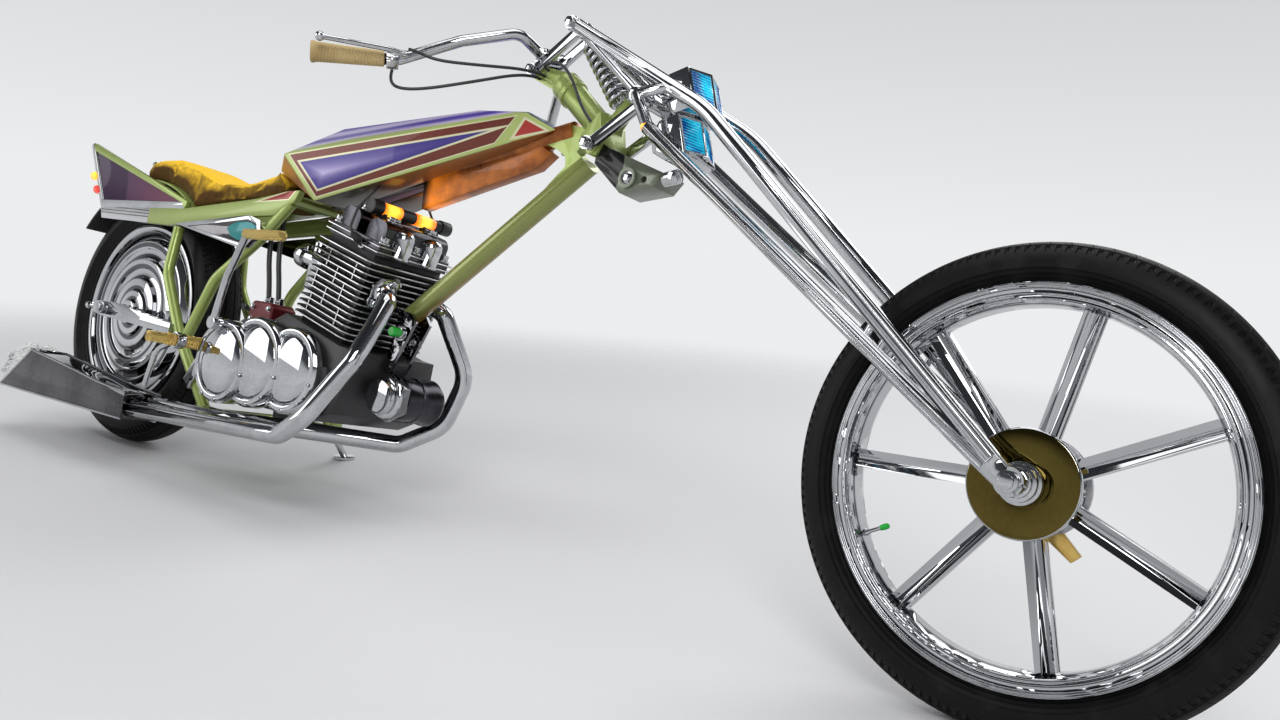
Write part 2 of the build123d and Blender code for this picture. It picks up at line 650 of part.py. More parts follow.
COVER_LOBES = (
    # centre x, centre z, radius, outer face y
    (579, 267, 92, 172),
    (672, 279, 98, 160),
    (780, 278, 92, 148),
)


def engine_covers():
    """Three overlapping stepped covers on the right, and the long drive cover on the left."""
    whole = None
    inner = ENGINE_HALF + 10 + SEAT
    for x, z, radius, outer in COVER_LOBES:
        lobe = disc(x, z, radius, -inner, -outer)
        lobe = chamfer(lobe.edges().group_by(Axis.Y)[0], 6)
        lobe = lobe - disc(x, z, radius - 16, -outer + 5, -outer - 2)
        whole = lobe if whole is None else whole + lobe
    long = disc(790, 272, 88, inner, inner + 34) + disc(706, 270, 80, inner, inner + 34)
    long = long + slab([(706, 190), (790, 184), (790, 360), (706, 350)], inner, inner + 34)
    return Compound(children=[*whole.solids(), *long.solids()])


def carburettors():
    """Two carburettors behind the head, each with a bowl and a trumpet."""
    whole = None
    x, z = engine_tilt(120, -104)
    wall = Box(120, 400, 200, align=(Align.MIN, Align.CENTER, Align.CENTER))
    ahead = tilted(Pos(-FIN_L / 2 - 4 - SEAT, 0, 120) * wall)
    for y in (-52, 52):
        inlet = bar((x + 8, y, z - 2), (x - 16, y, z + 4), 23)
        body = bar((x - 4, y, z + 2), (x - 70, y, z + 14), 21) + (inlet - ahead)
        body = body + bar((x - 40, y, z), (x - 40, y, z - 54), 19)
        body = body + bar((x - 40, y, z), (x - 40, y, z + 48), 14)
        body = body + bar((x - 70, y, z + 14), (x - 92, y, z + 18), 28)
        whole = body if whole is None else whole + body
    return whole


def light_tube():
    """The glowing tube lamp across the machine in front of the rocker boxes, on two posts."""
    x, z = 856, 652
    whole = disc(x, z, 13, -70, 140)
    for y in (-72, 128):
        whole = whole + disc(x, z, 16, y - 6, y + 22)
    rear, front = engine_tilt(HEAD_DECK_S + SEAT, -12), engine_tilt(HEAD_DECK_S + SEAT, 2)
    for y in (-40, 76):
        whole = whole + slab([rear, front, (x + 10, z), (x - 2, z)], y - 5, y + 5)
    return whole


def oil_filter():
    """The ribbed canister across the front of the engine."""
    whole = turned([(0, -70), (34, -70), (40, -64), (50, -58), (50, 70), (42, 84), (0, 84)], 930 + 50 + SEAT, 262)
    return whole


# Exhaust

PIPE_R = 19.0
NEAR_Y = -201.0
FAR_Y = -158.0
PORT_S = 130.0
PORT_FORWARD = FIN_L / 2 + 4 + SEAT


def port_run(side):
    """The first two points of a header: its port on the head and the end of the stub."""
    x0, z0 = engine_tilt(PORT_S, PORT_FORWARD)
    x1, z1 = engine_tilt(PORT_S - 8, PORT_FORWARD + 44)
    return [(x0, side * 66, z0), (x1, side * 80, z1)]


def port_flange(side):
    x0, z0 = engine_tilt(PORT_S, PORT_FORWARD)
    x1, z1 = engine_tilt(PORT_S, PORT_FORWARD + 9)
    return bar((x0, side * 66, z0), (x1, side * 66, z1), 28)


def behind_port():
    """Everything behind the head's front face, which the headers stop at."""
    wall = Box(120, 400, 110, align=(Align.MAX, Align.CENTER, Align.CENTER))
    return tilted(Pos(PORT_FORWARD, 0, PORT_S) * wall)


def near_route():
    """The right header's route, run back low on the outside."""
    return port_run(RIGHT) + [(988, -150, 330), (938, NEAR_Y, 200), (872, NEAR_Y, 152), (300, NEAR_Y, 116)]


def far_route():
    """The left header's route, crossed under the engine to run back beside the other pipe."""
    return port_run(LEFT) + [(1008, 146, 330), (972, 142, 215), (900, 92, 158), (760, -60, 154),
                             (650, FAR_Y, 148), (300, FAR_Y, 130)]


def exhaust_headers():
    """The two headers with their port flanges."""
    right = tube(near_route(), PIPE_R, [24, 80, 80, 60]) + port_flange(RIGHT) - behind_port()
    left = tube(far_route(), PIPE_R, [24, 80, 70, 50, 90, 70]) + port_flange(LEFT) - behind_port()
    return Compound(children=[*right.solids(), *left.solids()])


def fishtail():
    """The flat-sided flared tail, open at its slanted mouth."""
    outline = [(330, 92), (330, 154), (250, 154), (80, 172), (-131, 190), (-260, 84), (174, 90)]
    inner = [(60, 104), (60, 168), (-128, 184.4), (-128, 230), (-330, 230), (-330, 91), (-260, 91)]
    body = slab(outline, NEAR_Y - 22, FAR_Y + 22)
    return body - slab(inner, NEAR_Y - 19, FAR_Y + 19)


def exhaust_tail():
    """The tail piece with sockets for the two pipes."""
    body = fishtail()
    for route in (near_route(), far_route()):
        end, inward = Vector(*route[-1]), Vector(*route[-2])
        way = (inward - end).normalized()
        body = body - bar(tuple(end - way * SEAT), tuple(end + way * 60), PIPE_R + SEAT)
    return body


def wadding():
    """The white wadding stuffed in the tail's mouth."""
    outline = [(-60, 106), (-60, 170), (-131, 182), (-180, 206), (-252, 172), (-290, 112), (-256, 93)]
    return slab(outline, NEAR_Y - 19 + SEAT, FAR_Y + 19 - SEAT)


# Controls and stand


def kick_starter():
    arm = bar((558, -172.3, 346), (558, -196, 346), 14)
    arm = arm + tube([(558, -190, 346), (585, -196, 450), (632, -200, 546)], 8, 120)
    pedal = bar((628, -200, 545), (760, -204, 548), 11)
    return arm + pedal


PEG_X, PEG_Z = 468.0, 292.0
PEG_R = 13.0
PEG_TIP_R = 12.0            # the turned end that a rubber is pushed over
PEG_TIP_L = 44.0
PEG_END = 276.0
LEFT_PEG_DROP = 12.0        # how far down the strut the left hanger sits below the right one
BRAKE_EYE_Y = 206.0


def left_peg_shift():
    """How the left peg lies from the right one, down the strut that carries both."""
    (x0, z0), (x1, z1) = STRUT_LOWER, STRUT_FOOT
    run = hypot(x1 - x0, z1 - z0)
    return ((x1 - x0) / run * LEFT_PEG_DROP, (z1 - z0) / run * LEFT_PEG_DROP)


def foot_controls():
    """A knurled peg each side on a hanger plate from the strut, and the brake arm on the right."""
    y = FRAME_Y + FRAME_TUBE_R + SEAT
    shoulder = PEG_END - PEG_TIP_L
    peg = disc(PEG_X, PEG_Z, PEG_R, -y - 14, -shoulder) + disc(PEG_X, PEG_Z, PEG_TIP_R, -shoulder + 1, -PEG_END)
    peg = peg + disc(PEG_X, PEG_Z, 8, -y, -y - 20)
    hanger = slab([(395, 206), (420, 186), (482, 280), (480, 304), (456, 304)], -y, -y - 7)
    arm = tube([(PEG_X - 8, -BRAKE_EYE_Y, PEG_Z - 4), (392, -BRAKE_EYE_Y, 262), (372, -BRAKE_EYE_Y, 176)], 6, 40)
    brake = disc(PEG_X, PEG_Z, 18, -BRAKE_EYE_Y + 10, -BRAKE_EYE_Y - 10) + arm
    brake = brake - disc(PEG_X, PEG_Z, PEG_R + SEAT, -BRAKE_EYE_Y + 30, -BRAKE_EYE_Y - 30)
    drop_x, drop_z = left_peg_shift()
    left = Pos(drop_x, 0, drop_z) * mirror(peg + hanger, about=Plane.XZ)
    return Compound(children=[*(peg + hanger).solids(), *left.solids(), *brake.solids()])


STAND_EYE = (600.0, 140.0, 149.0)
STAND_FOOT_X = 462.0
STAND_FOOT_Y = 322.0
STAND_EYE_H = 20.0
STAND_EYE_R = 13.0
STAND_PIN_R = 6.0
STAND_LEG_R = 9.0
STAND_LOCK = 0.15           # share of the load that presses the leg onto its stop
FLOOR_Z = (REAR_CROWN_R * cos(radians(LEAN)) - REAR_CROWN_R) / cos(radians(LEAN))


def floor_point(x, y):
    """The point of the floor below a place on the upright machine."""
    return (x, y, FLOOR_Z + y * tan(radians(LEAN)))


def stand_leg():
    """Unit direction of the stand's leg, from its eye to its foot."""
    way = Vector(*floor_point(STAND_FOOT_X, STAND_FOOT_Y)) - Vector(*STAND_EYE)
    return tuple(way.normalized())


def stand_pin():
    """Unit direction of the stand's pin, raked so that the load holds the leg on its stop."""
    leg = Vector(*stand_leg())
    up = Vector(0, -sin(radians(LEAN)), cos(radians(LEAN)))
    level = leg.cross(up).normalized()
    steep = leg.cross(level).normalized()
    pin = level * -STAND_LOCK - steep * sqrt(1 - STAND_LOCK ** 2)
    return tuple(pin)


def side_stand():
    """The side stand: eye, leg and a foot that lies flat on the floor."""
    eye = bar(stand_point(-STAND_EYE_H / 2), stand_point(STAND_EYE_H / 2), STAND_EYE_R)
    foot = floor_point(STAND_FOOT_X, STAND_FOOT_Y)
    up = Vector(0, -sin(radians(LEAN)), cos(radians(LEAN)))
    leg = bar(STAND_EYE, tuple(Vector(*foot) + up * 8), STAND_LEG_R)
    pad = Plane(origin=foot, z_dir=up) * Cylinder(27, 7, align=(Align.CENTER, Align.CENTER, Align.MIN))
    whole = eye + leg - bar(stand_point(-20), stand_point(20), STAND_PIN_R + RUN)
    below = Plane(origin=foot, z_dir=up) * Box(120, 120, 60, align=(Align.CENTER, Align.CENTER, Align.MAX))
    return whole + pad - below


# Girder fork


def side_point(point, side):
    """The same point on one side of the machine."""
    x, y, z = point
    return (x, side * y, z)


def front_leg(side):
    """The long tube from the apex over the bend to the axle."""
    foot = (WHEELBASE, side * GIRDER_FOOT_Y, FRONT_AXLE_Z)
    return tube([side_point(APEX, side), side_point(GIRDER_BEND, side), foot], FRONT_LEG_R, GIRDER_BEND_R)


def girder_side(side):
    """One side of the girder: front leg, rear leg, top strut, pivot boss and axle lug."""
    foot = (WHEELBASE, side * GIRDER_FOOT_Y, FRONT_AXLE_Z)
    rear_foot = (WHEELBASE - 8, side * GIRDER_FOOT_Y, FRONT_AXLE_Z - 2)
    whole = front_leg(side) + bar(side_point(REAR_LEG_TOP, side), rear_foot, REAR_LEG_R)
    pivot = side_point(LOWER_PIVOT, side)
    outer = (LOWER_PIVOT[0], side * 84, LOWER_PIVOT[2])
    whole = whole + bar(side_point(APEX, side), pivot, STRUT_R)
    whole = whole + bar((pivot[0], side * (LOWER_LINK_Y + LINK_T / 2 + SEAT), pivot[2]), outer, 15)
    whole = whole + bar(outer, side_point(REAR_LEG_TOP, side), 11)
    whole = whole + bar(outer, (1560, side * 78, 897), 10)
    for share in (0.62, 0.66):
        x = GIRDER_BEND[0] + share * (WHEELBASE - GIRDER_BEND[0])
        z = GIRDER_BEND[2] + share * (FRONT_AXLE_Z - GIRDER_BEND[2])
        y = GIRDER_BEND[1] + share * (GIRDER_FOOT_Y - GIRDER_BEND[1])
        whole = whole + bar((x, side * y, z), (x - 14, side * y, z - 34), 6)
    lug = disc(WHEELBASE, FRONT_AXLE_Z, 20, side * (GIRDER_FOOT_Y - 9), side * (GIRDER_FOOT_Y + 9))
    whole = whole + lug
    whole = whole - disc(WHEELBASE, FRONT_AXLE_Z, AXLE_R + SEAT, side * 60, side * 140)
    inner_cut = disc(WHEELBASE, FRONT_AXLE_Z, 40, side * 20, side * (GIRDER_FOOT_Y - 9))
    whole = whole - inner_cut
    whole = whole - disc(WHEELBASE, FRONT_AXLE_Z, 40, side * (GIRDER_FOOT_Y + 9), side * 150)
    face = UPPER_LINK_Y + LINK_T / 2 + SEAT
    whole = whole + disc(APEX[0], APEX[2], 15, side * face, side * (APEX[1] + 10))
    whole = whole + disc(APEX[0], APEX[2], 9, side * (APEX[1] + 9), side * (APEX[1] + 17))
    return whole - slab([(1200, 900), (1340, 900), (1340, 1100), (1200, 1100)], side * face, -side * 90)


def girder():
    """Both sides of the girder and the cross tubes at the apex and at the lower pivot."""
    upper = UPPER_LINK_Y - LINK_T / 2 - SEAT
    lower = LOWER_LINK_Y - LINK_T / 2 - SEAT
    top = disc(APEX[0], APEX[2], 12, -upper, upper) + disc(APEX[0], APEX[2], 17, -9, 9)
    low = disc(LOWER_PIVOT[0], LOWER_PIVOT[2], 15, -lower, lower)
    sides = [*girder_side(RIGHT).solids(), *girder_side(LEFT).solids()]
    return Compound(children=[*sides, *top.solids(), *low.solids()])


def front_axle():
    """The front spindle with its stepped spacers and end nuts."""
    whole = disc(WHEELBASE, FRONT_AXLE_Z, AXLE_R, -FRONT_AXLE_HALF, FRONT_AXLE_HALF)
    face = HUB_HALF + SEAT + HUB_DISC_T + RUN
    lug_in = GIRDER_FOOT_Y - 9 - SEAT
    steps = ((face, 30), (face + 14, 26), (face + 26, 21), (face + 36, 17))
    for (start, radius), (end, _) in zip(steps, steps[1:] + ((lug_in, 0),)):
        whole = whole + disc(WHEELBASE, FRONT_AXLE_Z, radius, -start, -end)
    whole = whole + disc(WHEELBASE, FRONT_AXLE_Z, 18, BRAKE_PLATE_Y + BRAKE_PLATE_T + SEAT, lug_in)
    for side in (RIGHT, LEFT):
        whole = whole + disc(WHEELBASE, FRONT_AXLE_Z, 15, side * (GIRDER_FOOT_Y + 9 + SEAT), side * 122)
    return whole


BRAKE_PLATE_Y = HUB_HALF + 1.0
BRAKE_PLATE_T = 12.0


def front_brake_plate():
    """The fixed brake plate on the left of the front hub, with its lever and cable stop."""
    y0, y1 = BRAKE_PLATE_Y, BRAKE_PLATE_Y + BRAKE_PLATE_T
    plate = disc(WHEELBASE, FRONT_AXLE_Z, 74, y0, y1)
    plate = plate + slab([(WHEELBASE + 20, FRONT_AXLE_Z - 68), (WHEELBASE + 62, FRONT_AXLE_Z - 96),
                          (WHEELBASE + 74, FRONT_AXLE_Z - 84), (WHEELBASE + 44, FRONT_AXLE_Z - 56)], y0, y1)
    return plate - disc(WHEELBASE, FRONT_AXLE_Z, AXLE_R + SEAT, y0 - 1, y1 + 1)


UPPER_YOKE_SIDE = [(-60.5, -20), (-60.5, 24), (-84, 24), (-150, -8), (-166, -22), (-158, -38),
                   (-140, -36), (-90, -22)]
LOWER_YOKE_SIDE = [(60.5, -30), (60.5, 30), (112, -8), (118, -30), (100, -42), (84, -36)]
SPRING_ARM_SIDE = [(64, 20), (64, 74), (82, 78), (90, 20)]


def steering_stem():
    """Stem with its upper and lower yokes and the pivot tubes in them."""
    half = HEAD_TUBE_L / 2
    whole = steering_bar(STEM_R, -half - 40, half + 20)
    whole = whole + steering_bar(30, -half - 0.5, -half - 22) + steering_bar(30, half + 0.5, half + 24)
    upper = steering_slab(UPPER_YOKE_SIDE, UPPER_LINK_Y - LINK_T / 2 - SEAT)
    lower = steering_slab(LOWER_YOKE_SIDE, 40) + steering_slab(SPRING_ARM_SIDE, 12)
    cut = steering_bar(90, -half - 0.5, half + 0.5)
    whole = whole + (upper - cut) + (lower - cut)
    whole = whole + disc(UPPER_YOKE[0], UPPER_YOKE[1], 12, -UPPER_LINK_Y + 5, UPPER_LINK_Y - 5)
    whole = whole + disc(LOWER_YOKE[0], LOWER_YOKE[1], 14, -LOWER_LINK_Y + 5, LOWER_LINK_Y - 5)
    return whole


def link(rear, front, y, side, heads):
    """A flat link with round ends and bolt heads at the places listed."""
    (x0, z0), (x1, z1) = rear, front
    run = hypot(x1 - x0, z1 - z0)
    nx, nz = -(z1 - z0) / run * LINK_W / 2, (x1 - x0) / run * LINK_W / 2
    inner, outer = side * (y - LINK_T / 2), side * (y + LINK_T / 2)
    body = slab([(x0 + nx, z0 + nz), (x1 + nx, z1 + nz), (x1 - nx, z1 - nz), (x0 - nx, z0 - nz)], inner, outer)
    for x, z in (rear, front):
        body = body + disc(x, z, LINK_W / 2, inner, outer)
    for x, z in heads:
        body = body + disc(x, z, 9, outer - side, outer + side * 8)
    return body


def girder_links():
    """Upper and lower links, one pair each, between the yokes and the girder."""
    whole = None
    for side in (RIGHT, LEFT):
        apex, pivot = (APEX[0], APEX[2]), (LOWER_PIVOT[0], LOWER_PIVOT[2])
        upper = link(UPPER_YOKE, apex, UPPER_LINK_Y, side, [UPPER_YOKE])
        lower = link(LOWER_YOKE, pivot, LOWER_LINK_Y, side, [LOWER_YOKE])
        whole = upper + lower if whole is None else whole + upper + lower
    return whole


def handlebar_route(side):
    return [(1196, side * 20, 990), (1180, side * 70, 1012), (1110, side * 150, 968), (1030, side * 228, 903),
            (933, side * 342, 880)]


def handlebar():
    """Handlebar in two swept halves, on a clamp over the upper yoke."""
    half = UPPER_LINK_Y - LINK_T / 2 - SEAT
    clamp = slab([(1222, 958), (1196, 973), (1180, 978), (1182, 1004), (1210, 1002)], -half, half)
    yoke = steering_slab(UPPER_YOKE_SIDE, 30)
    clamp = clamp - yoke - Pos(0, 0, SEAT) * yoke
    whole = clamp + disc(1196, 990, 11, -24, 24)
    for side in (RIGHT, LEFT):
        whole = whole + tube(handlebar_route(side), 11, [40, 60, 60])
    for side in (RIGHT, LEFT):
        lever = control_lever() if side == RIGHT else mirror(control_lever(), about=Plane.XZ)
        whole = whole + lever
    return whole


GRIP_START, GRIP_L = 22.0, 134.0


def bar_end(along, radius, length):
    """A cone-free round piece on the right bar's last run, from a distance along it."""
    start, end = Vector(*handlebar_route(RIGHT)[-2]), Vector(*handlebar_route(RIGHT)[-1])
    way = (end - start).normalized()
    return Plane(origin=start + way * along, z_dir=way) * Cylinder(
        radius, length, align=(Align.CENTER, Align.CENTER, Align.MIN))


def grips():
    """Tapered wrapped grips on the bar's ends."""
    start, end = Vector(*handlebar_route(RIGHT)[-2]), Vector(*handlebar_route(RIGHT)[-1])
    way = (end - start).normalized()
    grip = Plane(origin=start + way * GRIP_START, z_dir=way) * Cone(
        15, 19, GRIP_L, align=(Align.CENTER, Align.CENTER, Align.MIN))
    return both(grip - bar_end(GRIP_START - 1, 11 + SEAT, GRIP_L - 2.5))


def control_lever():
    """Clamp, perch and ball-ended lever in front of the right grip."""
    collar = bar_end(-4, 18, 22)
    perch = bar((1026, -236, 903), (1050, -222, 916), 8)
    lever = tube([(1050, -222, 916), (1040, -262, 912), (972, -362, 900)], 5, 60)
    ball = Pos(972, -362, 900) * Sphere(9)
    return collar + perch + lever + ball


def headlamp_block(centre, grow=0.0):
    """One lamp's case about its face centre, tilted up."""
    x, z = centre
    case = Box(62, 2 * LAMP_HALF, 76, align=(Align.MAX, Align.CENTER, Align.CENTER))
    case = chamfer(case.edges().filter_by(Axis.Y).group_by(Axis.X)[0], 22)
    return Pos(x, 0, z) * Rot(0, -21, 0) * case


def lamp_lens(centre):
    x, z = centre
    half = LAMP_HALF - 2
    roof = extrude(make_face(Polyline((SEAT, -half), (16, 0), (SEAT, half), close=True)), amount=70)
    return Pos(x, 0, z) * Rot(0, -21, 0) * Pos(0, 0, -35) * roof


LAMP_CENTRES = ((1592, 908), (1590, 824))
LAMP_HALF = 55.0


def headlamp_cases():
    whole = headlamp_block(LAMP_CENTRES[0]) + headlamp_block(LAMP_CENTRES[1])
    whole = whole + slab([(1508, 876), (1560, 905), (1566, 830), (1540, 830)], -24, 24)
    pivot = disc(LOWER_PIVOT[0], LOWER_PIVOT[2], 15 + SEAT, -60, 60)
    return whole - pivot


def headlamp_lenses():
    return lamp_lens(LAMP_CENTRES[0]) + lamp_lens(LAMP_CENTRES[1])


def fork_spring():
    """The spring unit between the girder's apex and the lower yoke."""
    top, foot = Vector(1304, 0, 1020), Vector(*steering_point(66, 60))
    way = foot - top
    core = Cylinder(15.5, way.length, align=(Align.CENTER, Align.CENTER, Align.MIN))
    coils = 9
    for index in range(coils):
        core = core + Pos(0, 0, 18 + index * (way.length - 36) / (coils - 1)) * Torus(20, 5)
    above = HEAD_TUBE_L / 2 + 4 - SEAT
    below = steering_slab([(above, -50), (above, 150), (above + 90, 150), (above + 90, -50)], 60)
    return Plane(origin=top, z_dir=way) * core - below


NECK_BOX_HALF = 34.0
NECK_BOSS = (1480.0, 745.0)


def neck_box():
    """The triangular box under the lower yoke, with its bosses, blind holes and the clamp at its tip."""
    half = NECK_BOX_HALF
    body = slab([(1396, 770), (1398, 812), (1424, 800), (1556, 757), (1538, 732), (1466, 717)], -half, half)
    yoke = grown_slab([steering_point(*at)[::2] for at in LOWER_YOKE_SIDE], -60, 60, SEAT)
    body = body - disc(*LOWER_YOKE, 14 + SEAT, -60, 60) - yoke
    boss_x, boss_z = NECK_BOSS
    body = body + disc(boss_x, boss_z, 19, -half - 5, half + 5) - disc(boss_x, boss_z, 12, -half - 2, -half - 9)
    body = body - disc(boss_x, boss_z, 12, half + 2, half + 9)
    body = body - disc(1515, 744, 6, half - 12, half + 1) - disc(1515, 744, 6, -half + 12, -half - 1)
    return body + bar((1550, -20, 748), (1580, -20, 756), 13) + disc(1572, 754, 8, -34, -6)


CABLE_R = 3.0


def cable_end(side_y, x, z):
    """Where a cable runs into the upper yoke's side."""
    return (x, -(UPPER_LINK_Y - LINK_T / 2 - SEAT) - side_y, z)


def fork_cables():
    """The control cables: two from the right lever to the upper yoke, one on down to the lower yoke."""
    lever = [(1063, -230.4, 922.6), (1084, -226, 918), (1114, -205, 909), (1159, -150, 920), (1216, -52, 945),
             cable_end(SEAT, 1216, 945)]
    collar = [(1027.8, -231.6, 882), (1036, -240, 858), (1062, -236, 844), (1092, -200, 856),
              (1144, -140, 890), (1204, -52, 940), cable_end(SEAT, 1204, 940)]
    stop = HEAD_TUBE_L / 2 + 0.5 - SEAT
    down = [cable_end(SEAT, 1222, 958), (1222, -35, 958), (1248, -39, 965), (1276, -40, 960), (1309, -40, 930),
            steering_point(stop - 34, 3, -38), steering_point(stop, 3, -38)]
    return Compound(children=[
        *tube(lever, CABLE_R, [8, 30, 40, 20]).solids(),
        *tube(collar, CABLE_R, [10, 12, 20, 40, 20]).solids(),
        *tube(down, CABLE_R, [10, 14, 20, 40, 30]).solids(),
    ])


PIECES = (
    front_tyre, front_wheel, front_hub_disc, rear_tyre, rear_wheel, rear_sprocket, chain,
    head_tube, backbone, downtube, seat_rails, rear_frame, lower_rails, chain_stays, rear_axle,
    tank, seat, tail_base, tail_fins, side_wedges, tail_lamps,
    crankcase, cylinder_block, cylinder_head, engine_covers, carburettors, light_tube, oil_filter,
    exhaust_headers, exhaust_tail, wadding, kick_starter, foot_controls, side_stand,
    girder, front_axle, front_brake_plate, steering_stem, girder_links, handlebar, grips,
    headlamp_cases, headlamp_lenses, fork_spring, neck_box, fork_cables,
)


def lean_over(solid):
    """Leans an upright piece onto the stand, with the floor at zero."""
    floor = REAR_CROWN_R * cos(radians(LEAN)) - REAR_CROWN_R
    return Pos(0, 0, -floor) * Rot(-LEAN, 0, 0) * solid


def built_pieces():
    """Every piece leaned, by name, and the shift that puts the origin under their middle."""
    pieces = {make.__name__: lean_over(make()) for make in PIECES}
    boxes = [piece.bounding_box() for piece in pieces.values()]
    shift_x = -(min(box.min.X for box in boxes) + max(box.max.X for box in boxes)) / 2
    shift_y = -(min(box.min.Y for box in boxes) + max(box.max.Y for box in boxes)) / 2
    return pieces, (shift_x, shift_y)


def main():
    """Builds, leans, centres and writes every piece."""
    os.makedirs("parts", exist_ok=True)
    pieces, (shift_x, shift_y) = built_pieces()
    for name, piece in pieces.items():
        export_step(Pos(shift_x, shift_y, 0) * piece, f"parts/{name}.step")


if __name__ == "__main__":
    main()
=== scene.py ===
"""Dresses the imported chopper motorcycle: paint, chrome, tyres, seat, lamps, cables and small fittings.

Pieces are drawn on the upright machine, in metres: +X forward, +Y to the rider's left, +Z up, with
X = 0 at the rear axle and the floor at Z = 0. Stance then leans each mesh onto the side stand.
"""

import functools
import json
import logging
import math
import random
from collections.abc import Callable, Iterable
from dataclasses import dataclass
from enum import Enum

import bpy
from mathutils import Matrix, Vector

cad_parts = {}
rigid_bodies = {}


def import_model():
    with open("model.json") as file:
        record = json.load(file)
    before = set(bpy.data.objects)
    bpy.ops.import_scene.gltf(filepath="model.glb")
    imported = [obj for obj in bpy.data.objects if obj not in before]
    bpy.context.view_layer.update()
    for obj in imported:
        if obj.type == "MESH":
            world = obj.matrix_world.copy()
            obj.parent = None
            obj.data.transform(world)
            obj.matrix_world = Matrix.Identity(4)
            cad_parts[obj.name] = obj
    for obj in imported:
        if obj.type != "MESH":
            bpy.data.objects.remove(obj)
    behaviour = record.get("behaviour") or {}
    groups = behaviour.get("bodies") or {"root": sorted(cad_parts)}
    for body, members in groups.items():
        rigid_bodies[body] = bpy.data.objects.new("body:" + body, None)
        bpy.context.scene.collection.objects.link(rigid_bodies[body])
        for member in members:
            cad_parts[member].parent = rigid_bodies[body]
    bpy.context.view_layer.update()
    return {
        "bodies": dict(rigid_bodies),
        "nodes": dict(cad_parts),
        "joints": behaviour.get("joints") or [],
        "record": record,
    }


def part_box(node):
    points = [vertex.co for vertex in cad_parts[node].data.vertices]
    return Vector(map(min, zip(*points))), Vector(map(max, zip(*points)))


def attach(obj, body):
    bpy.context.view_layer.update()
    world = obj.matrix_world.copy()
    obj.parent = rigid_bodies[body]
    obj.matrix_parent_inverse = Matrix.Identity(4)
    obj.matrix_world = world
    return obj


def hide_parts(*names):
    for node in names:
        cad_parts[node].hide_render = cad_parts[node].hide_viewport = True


LOG = logging.getLogger("chopper")
RIGHT, LEFT = -1, 1
SIDES = (RIGHT, LEFT)
# millimetres in a metre
MM = 1000
# the least radius of a turned profile, where it meets its axis
ON_AXIS = 1e-5
# how close points are before they are merged
MERGE = 1e-5
QUARTER = math.pi / 2
ACROSS = Vector((0, 1, 0))
Point = tuple[float, float, float]
Flat = tuple[float, float]
Colour = tuple[float, float, float]
Piece = bpy.types.Object
Chosen = Callable[[Vector, Vector], bool]


def mm(*points: Flat) -> list[Flat]:
    """Outline points given in millimetres, in metres."""
    return [(first / MM, second / MM) for first, second in points]


def arc(radius: float, start: float, end: float, steps: int, middle: float = 0.0) -> list[Flat]:
    """Points along an arc between two angles in radians; the middle is its centre's first coordinate."""
    turns = [start + (end - start) * step / steps for step in range(steps + 1)]
    return [(middle + radius * math.cos(turn), radius * math.sin(turn)) for turn in turns]


def pointing(way: Vector) -> Matrix:
    """The turn that takes +Y to a way."""
    return ACROSS.rotation_difference(way).to_matrix().to_4x4()


class Body(Enum):
    """The rigid bodies that pieces ride on."""

    FRAME = "frame"
    FORK = "fork"
    FRONT_WHEEL = "front_wheel"
    REAR_WHEEL = "rear_wheel"
    STAND = "side_stand"


class Stance:
    """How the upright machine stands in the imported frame, read from the wheels' joints."""

    def __init__(self, frame: dict) -> None:
        """Reads the lean, the origin and the hubs.
        """
        joints = {joint["name"]: joint for joint in frame["joints"]}
        rear = joints["rear_wheel_spin"]
        front = joints["front_wheel_spin"]
        lean = -math.atan2(rear["axis"][2], rear["axis"][1])
        turn = Matrix.Rotation(-lean, 4, "X")
        low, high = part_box("rear_tyre")
        self.rear_radius = (high.x - low.x) / 2
        self.rear_hub = Vector((0.0, 0.0, self.rear_radius))
        origin = Vector(rear["pos_m"]) - turn @ self.rear_hub
        self.matrix = Matrix.Translation(origin) @ turn
        self.back = self.matrix.inverted()
        self.front_hub = self.back @ Vector(front["pos_m"])

    def seat(self, piece: Piece) -> None:
        """Leans a mesh that was drawn upright."""
        piece.data.transform(self.matrix)


# Shader maths


